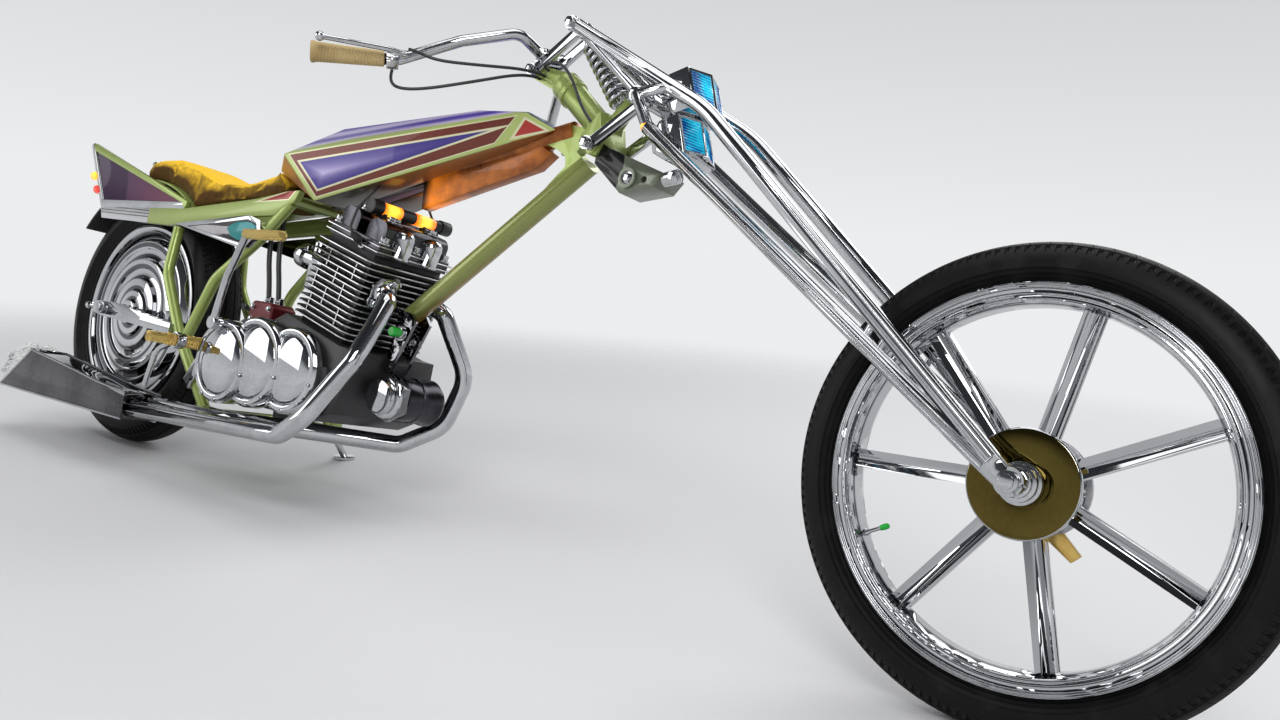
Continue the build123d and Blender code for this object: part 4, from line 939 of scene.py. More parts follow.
FINISHES = (
    Chrome(),
    Chrome("dark_chrome", (0.19, 0.19, 0.20), (0.13, 0.13, 0.14), 0.04),
    Chrome("bronze_mirror", (0.105, 0.080, 0.020), (0.080, 0.055, 0.014), 0.04),
    Chrome("tail_mirror", (0.11, 0.105, 0.11), (0.045, 0.045, 0.048), 0.03, 0.00015),
    RingChrome("front_rings", True, 0.0068),
    RingChrome("rear_rings", False, 0.0290),
    TubeGlow(),
    Metal("steel", (0.42, 0.42, 0.44), (0.28, 0.28, 0.30), 0.30),
    CandyPaint("lime_paint", (0.37, 0.46, 0.15), (0.20, 0.26, 0.06)),
    LitShadedPaint(),
    CopperGlow(),
    RailPaint(),
    TankPaint(),
    Velvet(),
    Rubber("front_rubber", True, 75, 0.331, 0.289),
    Rubber("rear_rubber", False, 64, 0.309, 0.243),
    Knurl(),
    Knurl("left_knurl", (0.4767, 0.2837)),
    Knurl("pedal_knurl", (-0.202, 0.5465), True),
    NeckPaint(),
    SmokedPanel(),
    CandyPaint("teal_paint", (0.005, 0.25, 0.22), (0.01, 0.10, 0.14), 0.3),
    CandyPaint("green_cap", (0.02, 0.45, 0.05), (0.01, 0.25, 0.02), 0.0),
    Metal("gold_metal", (0.80, 0.58, 0.20), (0.50, 0.32, 0.08), 0.22, 900.0),
    Metal("black_metal", (0.014, 0.014, 0.015), (0.030, 0.030, 0.032), 0.42, 500.0, 0.0003, 0.2),
    Metal("head_metal", (0.085, 0.085, 0.095), (0.030, 0.030, 0.035), 0.20, 500.0, 0.0002),
    Metal("fin_edge", (0.55, 0.55, 0.56), (0.30, 0.30, 0.31), 0.25, 500.0),
    Metal("dark_red", (0.14, 0.008, 0.012), (0.06, 0.004, 0.006), 0.4, 500.0, 0.0001, 0.4),
    Glow("lamp_red", (0.5, 0.008, 0.008), (1.0, 0.08, 0.03), 0.6),
    Glow("amber", (1.0, 0.17, 0.004), (1.0, 0.52, 0.04), 1.5),
    Lens(),
    # the wool's grey second colour, in random patches, is painted shade for its creases
    Metal("white_wool", (0.84, 0.84, 0.82), (0.40, 0.40, 0.41), 0.9, 130.0, 0.001, 0.0),
    Metal("ivory_wrap", (0.60, 0.46, 0.22), (0.36, 0.25, 0.10), 0.75, 700.0, 0.0006, 0.0),
    Metal("black_cable", (0.010, 0.010, 0.011), (0.022, 0.022, 0.022), 0.42, 600.0, 0.0001, 0.0),
)
# the record's slot that each finish without a slot of its own name belongs to
SLOT_FINISHES = {
    "lime_paint": ("copper_glow", "olive_fade", "neck_paint", "teal_paint", "green_cap", "rail_paint"),
    "black_metal": ("fin_edge", "head_metal"),
    "rubber_black": ("black_cable", "front_rubber", "rear_rubber"),
    "gold_metal": ("gold_knurl", "left_knurl", "pedal_knurl"),
    "violet_paint": ("violet_panel",),
    "chrome": ("dark_chrome", "tail_mirror", "front_rings", "rear_rings"),
    "amber": ("tube_amber",),
}
SLOT_OF = {finish: slot for slot, finishes in SLOT_FINISHES.items() for finish in finishes}


# The workshop


class Workshop:
    """Models, dresses and mounts pieces with Blender's own operators."""

    def __init__(self, frame: dict, stance: Stance) -> None:
        """Builds every finish.

        Args:
            stance: how the machine stands.
        """
        self.frame = frame
        self.stance = stance
        self.materials = {finish.name: finish.build(stance) for finish in FINISHES}
        self.slots = {part["slot"] for part in frame["record"]["materials"]}

    @staticmethod
    def clear() -> None:
        """Leaves edit mode and deselects everything."""
        if bpy.context.object and bpy.context.object.mode != "OBJECT":
            bpy.ops.object.mode_set(mode="OBJECT")
        bpy.ops.object.select_all(action="DESELECT")

    def pick(self, *pieces: Piece) -> None:
        """Selects these objects alone and makes the first one active.

        Args:
            pieces: the objects.
        """
        self.clear()
        for piece in pieces:
            piece.select_set(True)
        bpy.context.view_layer.objects.active = pieces[0]

    def edit(self, piece: Piece, kind: str = "VERT", action: str = "SELECT") -> None:
        """Enters edit mode on one object.

        Args:
            piece: the object.
            kind: what is selected, VERT or FACE.
            action: whether all of it is selected or none, SELECT or DESELECT.
        """
        self.pick(piece)
        bpy.ops.object.mode_set(mode="EDIT")
        bpy.ops.mesh.select_mode(type=kind)
        bpy.ops.mesh.select_all(action=action)

    @staticmethod
    def turn_out() -> None:
        """Turns all faces of the mesh in edit mode outwards, and leaves edit mode."""
        bpy.ops.mesh.select_all(action="SELECT")
        bpy.ops.mesh.normals_make_consistent(inside=False)
        bpy.ops.object.mode_set(mode="OBJECT")

    def apply(self, piece: Piece, kind: str, **settings: object) -> None:
        """Adds a modifier and applies it.

        Args:
            piece: the object to shape.
            kind: the modifier's type.
            settings: its settings.
        """
        modifier = piece.modifiers.new(kind.lower(), kind)
        for key, value in settings.items():
            setattr(modifier, key, value)
        self.pick(piece)
        bpy.ops.object.modifier_apply(modifier=modifier.name)

    def soften(self, piece: Piece, width: float, segments: int = 2) -> None:
        """Rounds sharp edges by a width in metres, in some steps."""
        self.apply(piece, "BEVEL", width=width, segments=segments, limit_method="ANGLE",
                   angle_limit=math.radians(30), use_clamp_overlap=True)

    def turn(self, name: str, profile: list[Flat], hub: Vector = Vector(), segments: int = 96,
             closed: bool = False) -> Piece:
        """Turns a profile about a cross axis by extruding and scaling a ring.

        Args:
            name: the piece's name.
            profile: (radius, y) points in metres.
            hub: a point on the axis.
            segments: how many sides the ring has.
            closed: whether the profile returns to its start.

        Returns:
            The new object.
        """
        self.clear()
        last_r, last_y = max(profile[0][0], ON_AXIS), profile[0][1]
        bpy.ops.mesh.primitive_circle_add(vertices=segments, radius=last_r, rotation=(QUARTER, 0, 0),
                                          location=(0, last_y, 0))
        piece = bpy.context.object
        piece.name = piece.data.name = name
        bpy.ops.object.transform_apply(location=True, rotation=True, scale=True)
        self.edit(piece)
        for radius, y in profile[1:] + (profile[:1] if closed else []):
            radius = max(radius, ON_AXIS)
            grow = radius / last_r
            bpy.ops.mesh.extrude_edges_move(TRANSFORM_OT_translate={"value": (0, y - last_y, 0)})
            bpy.ops.transform.resize(value=(grow, 1, grow), center_override=(0, 0, 0))
            last_r, last_y = radius, y
        bpy.ops.mesh.select_all(action="SELECT")
        bpy.ops.mesh.remove_doubles(threshold=2 * MERGE)
        self.turn_out()
        piece.data.transform(Matrix.Translation(hub))
        return piece

    def plate(self, name: str, outline: list[Flat], y0: float, y1: float, round_edge: float,
              segments: int = 2) -> Piece:
        """A flat piece with an (x, z) outline, extruded across the machine.

        Args:
            name: the piece's name.
            outline: its corners in metres.
            y0: where it starts.
            y1: where it ends.
            round_edge: how far its edges are rounded.
            segments: how many steps a rounded edge has.

        Returns:
            The new object.
        """
        self.clear()
        bpy.ops.mesh.primitive_circle_add(vertices=len(outline), radius=1.0, fill_type="NGON")
        piece = bpy.context.object
        piece.name = piece.data.name = name
        for vertex, (x, z) in zip(piece.data.vertices, outline):
            vertex.co = (x, y0, z)
        self.edit(piece, "FACE")
        bpy.ops.mesh.extrude_region_move(TRANSFORM_OT_translate={"value": (0, y1 - y0, 0)})
        self.turn_out()
        self.soften(piece, round_edge, segments)
        return piece

    def pipe(self, name: str, points: list[Point], radius: float, sides: int = 6) -> Piece:
        """A round tube on one smooth spline.

        Args:
            name: the piece's name.
            points: the spline's control points.
            radius: the tube's radius.
            sides: the bevel's resolution.

        Returns:
            The new object.
        """
        curve = bpy.data.curves.new(name, "CURVE")
        curve.dimensions = "3D"
        curve.resolution_u = 16
        curve.bevel_depth = radius
        curve.bevel_resolution = sides
        curve.use_fill_caps = True
        line = curve.splines.new("NURBS")
        line.points.add(len(points) - 1)
        for knot, point in zip(line.points, points):
            knot.co = (*point, 1.0)
        line.order_u = 3
        line.use_endpoint_u = True
        piece = bpy.data.objects.new(name, curve)
        bpy.context.scene.collection.objects.link(piece)
        self.pick(piece)
        bpy.ops.object.convert(target="MESH")
        piece = bpy.context.object
        piece.data.name = name
        return piece

    def join(self, name: str, pieces: list[Piece]) -> Piece:
        """Joins objects into one.

        Args:
            name: the whole's name.
            pieces: the objects, which share one mesh afterwards.

        Returns:
            The whole.
        """
        self.pick(*pieces)
        if len(pieces) > 1:
            bpy.ops.object.join()
        whole = bpy.context.object
        whole.name = whole.data.name = name
        return whole

    def paint(self, piece: Piece, finish: str, chosen: Chosen) -> None:
        """Gives chosen faces of a mounted piece another finish.

        Args:
            piece: a mounted piece.
            finish: the material's name.
            chosen: takes a face's centre and normal on the upright machine.
        """
        back = self.stance.back
        turn = back.to_3x3()
        piece.data.materials.append(self.materials[finish])
        index = len(piece.data.materials) - 1
        for face in piece.data.polygons:
            if chosen(back @ face.center, turn @ face.normal):
                face.material_index = index

    def select_faces(self, piece: Piece, chosen: Chosen) -> None:
        """Selects some faces of a mesh and enters edit mode.

        Args:
            piece: the object.
            chosen: takes a face's centre and normal as they are in the mesh.
        """
        self.edit(piece, "FACE", "DESELECT")
        bpy.ops.object.mode_set(mode="OBJECT")
        for face in piece.data.polygons:
            face.select = chosen(face.center, face.normal)
        bpy.ops.object.mode_set(mode="EDIT")

    def aimed(self, piece: Piece, place: Vector, way: Vector) -> Piece:
        """Points a mesh drawn about +Y at the origin along a way, at a place."""
        piece.data.transform(Matrix.Translation(place) @ pointing(way))
        return piece

    def hex_head(self, size: float, height: float) -> Piece:
        """A hexagon head with a washer, drawn along +Y from the origin.

        Args:
            size: how wide it is.
            height: how high it stands.

        Returns:
            The head.
        """
        rim, top = size * 0.72, height * 0.2
        washer = self.turn("washer", [(0, 0), (rim, 0), (rim, top), (0, top)], segments=24)
        self.clear()
        bpy.ops.mesh.primitive_cylinder_add(vertices=6, radius=size * 0.58, depth=height,
                                            location=(0, height * 0.7, 0), rotation=(QUARTER, 0, 0))
        head = bpy.context.object
        bpy.ops.object.transform_apply(location=True, rotation=True, scale=True)
        self.soften(head, size * 0.06)
        return self.join("bolt", [washer, head])

    def socket_head(self, size: float, height: float) -> Piece:
        """A round socket screw, drawn along +Y from the origin."""
        r, h, socket = size / 2, height, height * 0.45
        return self.turn("screw", [(r, 0), (r, h * 0.86), (r * 0.88, h), (r * 0.46, h), (r * 0.42, socket),
                                   (0, socket)], segments=20)

    def fasteners(self, name: str, make: Callable[[float, float], Piece],
                  rows: list[tuple[Point, Point, float, float]]) -> Piece:
        """Many hex or socket heads in one piece, from the place, way, size and height of each."""
        return self.join(name, [self.aimed(make(size, height), Vector(place), Vector(way).normalized())
                                for place, way, size, height in rows])

    def copy_of(self, piece: Piece, name: str, move: Matrix) -> Piece:
        """A copy with its own mesh.

        Args:
            piece: the object to copy.
            name: the copy's name.
            move: how the copy's mesh is moved.

        Returns:
            The copy.
        """
        twin = piece.copy()
        twin.data = piece.data.copy()
        twin.name = twin.data.name = name
        bpy.context.scene.collection.objects.link(twin)
        twin.data.transform(move)
        return twin

    def mirrored(self, piece: Piece, name: str) -> Piece:
        """The piece's twin on the other side, with its faces turned outwards.

        Args:
            piece: the object to mirror.
            name: the twin's name.

        Returns:
            The twin.
        """
        twin = self.copy_of(piece, name, Matrix.Scale(-1, 4, ACROSS))
        self.edit(twin)
        bpy.ops.mesh.flip_normals()
        bpy.ops.object.mode_set(mode="OBJECT")
        return twin

    def casting(self, node: str, name: str, edge: float, segments: int = 2) -> Piece:
        """A merged copy of a CAD node with its edges rounded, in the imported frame.

        Args:
            node: the node to copy.
            name: the copy's name.
            edge: how far its edges are rounded.
            segments: how many steps a rounded edge has.

        Returns:
            The copy.
        """
        piece = bpy.data.objects.new(name, self.frame["nodes"][node].data.copy())
        piece.data.name = name
        bpy.context.scene.collection.objects.link(piece)
        self.edit(piece)
        bpy.ops.mesh.remove_doubles(threshold=MERGE)
        bpy.ops.mesh.tris_convert_to_quads(face_threshold=math.radians(1), shape_threshold=math.radians(40))
        bpy.ops.object.mode_set(mode="OBJECT")
        if edge:
            self.soften(piece, edge, segments)
        return piece

    def mount(self, piece: Piece, finish: str, body: Body = Body.FRAME, *nodes: str, upright: bool = True,
              angle: float = 35.0) -> Piece:
        """Leans, shades, paints and mounts a piece.

        Args:
            piece: the finished mesh.
            finish: the material's name.
            body: the body that it rides on.
            nodes: the CAD nodes that it stands for.
            upright: whether it was drawn on the upright machine.
            angle: edges sharper than this stay sharp.

        Returns:
            The piece.
        """
        if upright:
            self.stance.seat(piece)
        self.pick(piece)
        bpy.ops.object.shade_smooth_by_angle(angle=math.radians(angle))
        if not piece.data.materials:
            piece.data.materials.append(self.materials[finish])
        else:
            piece.data.materials[0] = self.materials[finish]
        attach(piece, body.value)
        slot = SLOT_OF.get(finish, finish)
        slot in self.slots
        if nodes:
            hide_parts(*nodes)
        LOG.info("%s: %d faces on %s", piece.name, len(piece.data.polygons), body.value)
        return piece

    def recast(self, node: str, finish: str, body: Body, edge: float, segments: int = 2) -> Piece:
        """Mounts a casting that stands for its node."""
        piece = self.casting(node, f"{node}_dressed", edge, segments)
        return self.mount(piece, finish, body, node, upright=False)


# Stage


@dataclass
class Studio:
    """A pale floor and backdrop, soft lamps, and the camera at the photograph's place."""

    eye: Point = (1.4954, -1.5888, 0.6268)
    look: Point = (83.642, -5.053, 35.87)
    lens: float = 29.55
    sensor: float = 36.0
    floor_colour: Colour = (0.62, 0.62, 0.63)
    floor_size: float = 12.0
    fade_at: float = 3.6
    fade_half: float = 1.6
    # softboxes as name, place, aim, size and power
    lamps: tuple = (
        ("key", (2.6, -3.4, 3.4), (0.2, 0.0, 0.5), 2.2, 115.0),
        ("fill", (-3.2, -3.0, 2.2), (-0.4, 0.0, 0.5), 2.6, 60.0),
        ("back", (0.5, 3.6, 3.2), (0.0, 0.0, 0.4), 2.8, 90.0),
        ("top", (0.0, 0.0, 4.2), (0.0, 0.0, 0.0), 3.0, 60.0),
    )
    # the backdrop from the horizon to overhead, as height and colour
    sky: tuple = (
        (0.02, (0.84, 0.85, 0.86)),
        (0.23, (0.66, 0.67, 0.69)),
        (0.36, (0.10, 0.105, 0.115)),
        (0.90, (0.035, 0.036, 0.04)),
    )
    even_colour: Colour = (0.95, 0.97, 1.0)
    even_strength: float = 0.45

    def build(self) -> None:
        """Sets up the view, the lamps, the world and the floor."""
        self.add_camera()
        for lamp in self.lamps:
            self.add_lamp(*lamp)
        self.add_world()
        self.add_floor()
        bpy.context.scene.view_settings.view_transform = "Standard"

    def add_camera(self) -> None:
        """Puts the camera where the photograph was taken from."""
        camera = bpy.data.cameras.new("camera")
        camera.lens = self.lens
        camera.sensor_width = self.sensor
        eye = bpy.data.objects.new("camera", camera)
        eye.location = self.eye
        eye.rotation_euler = [math.radians(angle) for angle in self.look]
        bpy.context.scene.collection.objects.link(eye)
        bpy.context.scene.camera = eye

    @staticmethod
    def add_lamp(name: str, place: Point, aim: Point, size: float, power: float) -> None:
        """Adds one softbox.

        Args:
            name: the lamp's name.
            place: where it stands.
            aim: the point that it faces.
            size: how wide it is.
            power: how strong it is, in watts.
        """
        light = bpy.data.lights.new(name, "AREA")
        light.size = size
        light.energy = power
        lamp = bpy.data.objects.new(name, light)
        lamp.location = place
        lamp.rotation_euler = (Vector(aim) - Vector(place)).to_track_quat("-Z", "Y").to_euler()
        bpy.context.scene.collection.objects.link(lamp)

    def add_world(self) -> None:
        """A pale backdrop that darkens overhead, seen by the camera and in metal, over even light."""
        world = bpy.data.worlds.new("studio")
        bpy.context.scene.world = world
        tree = Tree(world)
        tree.nodes.clear()
        up = tree.axes(tree.add("ShaderNodeTexCoord", {}, {}, "Generated"))[2]
        sky = tree.add("ShaderNodeValToRGB", {"stops": self.sky}, {0: up})
        seen = tree.add("ShaderNodeBackground", {}, {"Color": sky})
        even = tree.add("ShaderNodeBackground", {},
                        {"Color": self.even_colour, "Strength": self.even_strength})
        camera, glossy, through = (tree.add("ShaderNodeLightPath", {}, {}, f"Is {kind} Ray")
                                   for kind in ("Camera", "Glossy", "Transmission"))
        shown = camera.upper(glossy).upper(through)
        whole = tree.add("ShaderNodeMixShader", {}, {0: shown, 1: even, 2: seen})
        tree.add("ShaderNodeOutputWorld", {}, {0: whole})

    def add_floor(self) -> None:
        """Lays the pale floor, which fades into the pale backdrop with distance."""
        bpy.ops.mesh.primitive_plane_add(size=self.floor_size)
        floor = bpy.context.object
        floor.name = "floor"
        tree = Tree(bpy.data.materials.new("floor_paint"))
        place = tree.place()
        x, y, _ = tree.axes(place)
        pale = tuple(value * 0.96 for value in self.floor_colour)
        tree.set(Base_Color=tree.mix(tree.noise(place, 1.2, 3.0), self.floor_colour, pale), Roughness=0.55)
        tree.set(Alpha=x.reach(y).below(self.fade_at, self.fade_half))
        floor.data.materials.append(tree.owner)


# The machine


@dataclass
class Assembly:
    """Pieces that are built together in one workshop."""

    shop: Workshop


@dataclass
class Castings(Assembly):
    """The pieces whose CAD shape is right: each is copied, its edges are rounded and it is finished."""

    # node, finish, body and rounding of its edges in metres
    table: tuple = (
        ("head_tube", "lime_paint", Body.FRAME, 0.002),
        ("backbone", "copper_glow", Body.FRAME, 0.002),
        ("downtube", "olive_fade", Body.FRAME, 0.0015),
        ("seat_rails", "rail_paint", Body.FRAME, 0.003),
        ("rear_frame", "lime_paint", Body.FRAME, 0.002),
        ("lower_rails", "lime_paint", Body.FRAME, 0.001),
        ("chain_stays", "chrome", Body.FRAME, 0.0015),
        ("rear_axle", "steel", Body.FRAME, 0.001),
        ("tank", "tank_paint", Body.FRAME, 0.004),
        ("tail_base", "lime_paint", Body.FRAME, 0.001),
        ("crankcase", "black_metal", Body.FRAME, 0.004),
        ("cylinder_head", "head_metal", Body.FRAME, 0.003),
        ("engine_covers", "chrome", Body.FRAME, 0.003),
        ("carburettors", "chrome", Body.FRAME, 0.002),
        ("exhaust_headers", "chrome", Body.FRAME, 0.0),
        ("exhaust_tail", "tail_mirror", Body.FRAME, 0.0025),
        ("kick_starter", "chrome", Body.FRAME, 0.001),
        ("side_stand", "chrome", Body.STAND, 0.001),
        ("girder", "chrome", Body.FORK, 0.0),
        ("front_axle", "chrome", Body.FORK, 0.001),
        ("front_brake_plate", "steel", Body.FORK, 0.001),
        ("steering_stem", "lime_paint", Body.FORK, 0.001),
        ("girder_links", "chrome", Body.FORK, 0.001),
        ("handlebar", "chrome", Body.FORK, 0.0),
        ("headlamp_cases", "chrome", Body.FORK, 0.002),
        ("fork_spring", "chrome", Body.FORK, 0.0),
        ("front_hub_disc", "bronze_mirror", Body.FRONT_WHEEL, 0.001),
        ("front_wheel", "front_rings", Body.FRONT_WHEEL, 0.0),
        ("rear_wheel", "rear_rings", Body.REAR_WHEEL, 0.001),
        ("rear_sprocket", "steel", Body.REAR_WHEEL, 0.0),
    )
    # upper ends of the down tube's drilled plates, and how far out their outer faces lie
    plate_tops: Flat = (0.436, 0.470)
    plate_half: float = 0.0205
    brake_plate_r: float = 0.0745
    disc_r: float = 0.0752
    # the kick starter's pedal lies beyond this x and z; the fender's end below this x and z is painted black
    # as painted shade
    pedal_from: Flat = (0.652, 0.53)
    painted_shade_end: Flat = (-0.19, 0.580)
    # the rocker boxes' tops: distance of their middles, half width and height
    box_y: float = 0.052
    box_half: float = 0.020
    box_top: float = 0.372 + 0.250 * math.cos(math.radians(14)) + 0.0135

    def build(self) -> None:
        """Copies and mounts each, and gives some faces another finish."""
        pieces = {row[0]: self.shop.recast(*row) for row in self.table}
        low, high = self.plate_tops
        rows = (
            ("downtube", "dark_chrome",
             lambda at, way: at.z < low or (abs(at.y) > self.plate_half and at.z < high)),
            ("front_brake_plate", "gold_metal", lambda at, way: self.from_hub(at) > self.brake_plate_r),
            ("kick_starter", "pedal_knurl",
             lambda at, way: at.x > self.pedal_from[0] and at.z > self.pedal_from[1]),
            # the fender's rear end in black as painted shade
            ("tail_base", "black_metal",
             lambda at, way: at.x < self.painted_shade_end[0] and at.z < self.painted_shade_end[1]),
            ("cylinder_head", "chrome", lambda at, way: abs(abs(at.y) - self.box_y) < self.box_half
             and way.z > 0.9 and at.z > self.box_top),
            ("front_hub_disc", "chrome", lambda at, way: self.from_hub(at) > self.disc_r),
        )
        for node, finish, chosen in rows:
            self.shop.paint(pieces[node], finish, chosen)

    def from_hub(self, at: Vector) -> float:
        """How far a point is from the front wheel's axis."""
        hub = self.shop.stance.front_hub
        return math.hypot(at.x - hub.x, at.z - hub.z)


@dataclass
class Tyre(Assembly):
    """A tyre with grooved ribs and notched shoulders."""

    node: str
    body: Body
    finish: str
    crown: float
    bead_r: float
    rim_half: float
    flange_r: float
    grooves: tuple[float, ...]
    segments: int = 300
    crown_steps: int = 40
    groove_depth: float = 0.004
    groove_half: float = 0.0016
    notch_depth: float = 0.0022
    # the wall's foot as distance out from the flange and distance past the rim's edge
    foot: tuple[Flat, ...] = ((0.001, 0.0), (0.004, 0.003), (0.006, 0.001))

    def profile(self, radius: float) -> list[Flat]:
        """The closed section, from one bead over the crown to the other.

        Args:
            radius: the tyre's radius.

        Returns:
            The section as (radius, y).
        """
        middle = radius - self.crown
        wall = [(self.bead_r, -self.rim_half)]
        wall += [(self.flange_r + out, -self.rim_half - past) for out, past in self.foot]
        over = arc(self.crown, -QUARTER, QUARTER, self.crown_steps, middle)
        for groove in self.grooves:
            over = self.cut(over, middle, groove)
        return wall + over + [(r, -y) for r, y in reversed(wall)]

    def cut(self, over: list[Flat], middle: float, groove: float) -> list[Flat]:
        """Cuts a groove round the crown.

        Args:
            over: the crown's points.
            middle: the radius of the crown's centre.
            groove: the groove's distance from the tyre's middle.

        Returns:
            The crown's points with the groove.
        """
        kept = [point for point in over if abs(point[1] - groove) > self.groove_half + 0.0006]
        index = sum(1 for point in kept if point[1] < groove)
        rim = []
        for share, depth in ((-1.0, 0.0), (-0.7, self.groove_depth), (0.7, self.groove_depth), (1.0, 0.0)):
            y = groove + self.groove_half * share
            rim.append((middle + math.sqrt(self.crown ** 2 - y ** 2) - depth, y))
        return kept[:index] + rim + kept[index:]

    def build(self, hub: Vector, radius: float) -> None:
        """Turns the tyre, notches its shoulders and mounts it.

        Args:
            hub: the wheel's centre.
            radius: the tyre's radius.
        """
        name = f"{self.node}_tread"
        tyre = self.shop.turn(name, self.profile(radius), segments=self.segments, closed=True)
        low, high = self.grooves[-1] + 0.002, self.crown * 0.86
        step, inner = math.tau / self.segments, radius - self.crown * 0.72

        def notch(centre: Vector, _: Vector) -> bool:
            """Every other step round both shoulders."""
            index = round((math.atan2(centre.z, centre.x) - step / 2) / step)
            return index % 2 == 0 and low < abs(centre.y) < high and math.hypot(centre.x, centre.z) > inner

        self.shop.select_faces(tyre, notch)
        bpy.ops.mesh.extrude_region_shrink_fatten(TRANSFORM_OT_shrink_fatten={"value": -self.notch_depth})
        bpy.ops.object.mode_set(mode="OBJECT")
        tyre.data.transform(Matrix.Translation(hub))
        self.shop.mount(tyre, self.finish, self.body, self.node, angle=30.0)


@dataclass
class Wheels(Assembly):
    """Both tyres, the rims' small parts and the hub's screws."""

    # node, body, finish, crown, bead, rim's half width, flange and grooves
    front: tuple = ("front_tyre", Body.FRONT_WHEEL, "front_rubber", 0.044, 0.2685, 0.0275, 0.2825,
                    (-0.0265, -0.0095, 0.0095, 0.0265))
    rear: tuple = ("rear_tyre", Body.REAR_WHEEL, "rear_rubber", 0.059, 0.2215, 0.0395, 0.236,
                   (-0.036, -0.012, 0.012, 0.036), 256)
    front_radius: float = 0.345
    valve_at: float = 208.0
    rim_inner: float = 0.252
    # beads on the rim's faces as radius, distance from the middle and thickness
    beads: tuple[Point, ...] = ((0.2745, 0.033, 0.0010), (0.2775, 0.033, 0.0010), (0.2805, 0.033, 0.0012),
                                (0.2660, 0.0315, 0.0009), (0.2596, 0.0292, 0.0009), (0.0670, 0.0300, 0.0012))
    hub_screws: int = 14
    # radius and distance from the middle of the ring of hub screws
    hub_ring: Flat = (0.0655, 0.0255)

    def build(self) -> None:
        """Builds both wheels' fine pieces."""
        stance = self.shop.stance
        Tyre(self.shop, *self.front).build(stance.front_hub, self.front_radius)
        Tyre(self.shop, *self.rear).build(stance.rear_hub, stance.rear_radius)
        self.add_valve()
        self.add_hub_screws()
        self.add_rings()

    def add_rings(self) -> None:
        """Fine beads round both faces of the front rim and round the drum's edge."""
        rings = []
        for radius, face, bead in self.beads:
            for side in SIDES:
                profile = [(radius + a, side * (face - bead * 0.3 + b)) for a, b in arc(bead, 0, math.pi, 6)]
                rings.append(self.shop.turn("ring", profile, self.shop.stance.front_hub, 160, True))
        self.shop.mount(self.shop.join("rim_rings", rings), "chrome", Body.FRONT_WHEEL)

    def add_valve(self) -> None:
        """The valve stem on the front rim and its green cap."""
        angle = math.radians(self.valve_at)
        way = Vector((-math.cos(angle), 0, -math.sin(angle)))
        foot = self.shop.stance.front_hub - way * self.rim_inner
        stem = mm((0, -4), (6.5, -2), (4.5, 4), (3.2, 8), (3.2, 26), (0, 26))
        cap = mm((0, 24), (4.2, 24), (4.8, 30), (4.4, 36), (2.6, 38), (0, 38))
        for name, profile, segments, finish in (("valve_stem", stem, 20, "chrome"),
                                                ("valve_cap", cap, 12, "green_cap")):
            piece = self.shop.aimed(self.shop.turn(name, profile, segments=segments), foot, way)
            self.shop.mount(piece, finish, Body.FRONT_WHEEL)

    def add_hub_screws(self) -> None:
        """Screws round the hub's end."""
        radius, y = self.hub_ring
        rows = []
        for index in range(self.hub_screws):
            angle = index * math.tau / self.hub_screws
            around = Vector((math.cos(angle), 0, math.sin(angle)))
            rows.append((self.shop.stance.front_hub + around * radius + ACROSS * y, around, 0.007, 0.004))
        screws = self.shop.fasteners("hub_screws", self.shop.socket_head, rows)
        self.shop.mount(screws, "chrome", Body.FRONT_WHEEL)


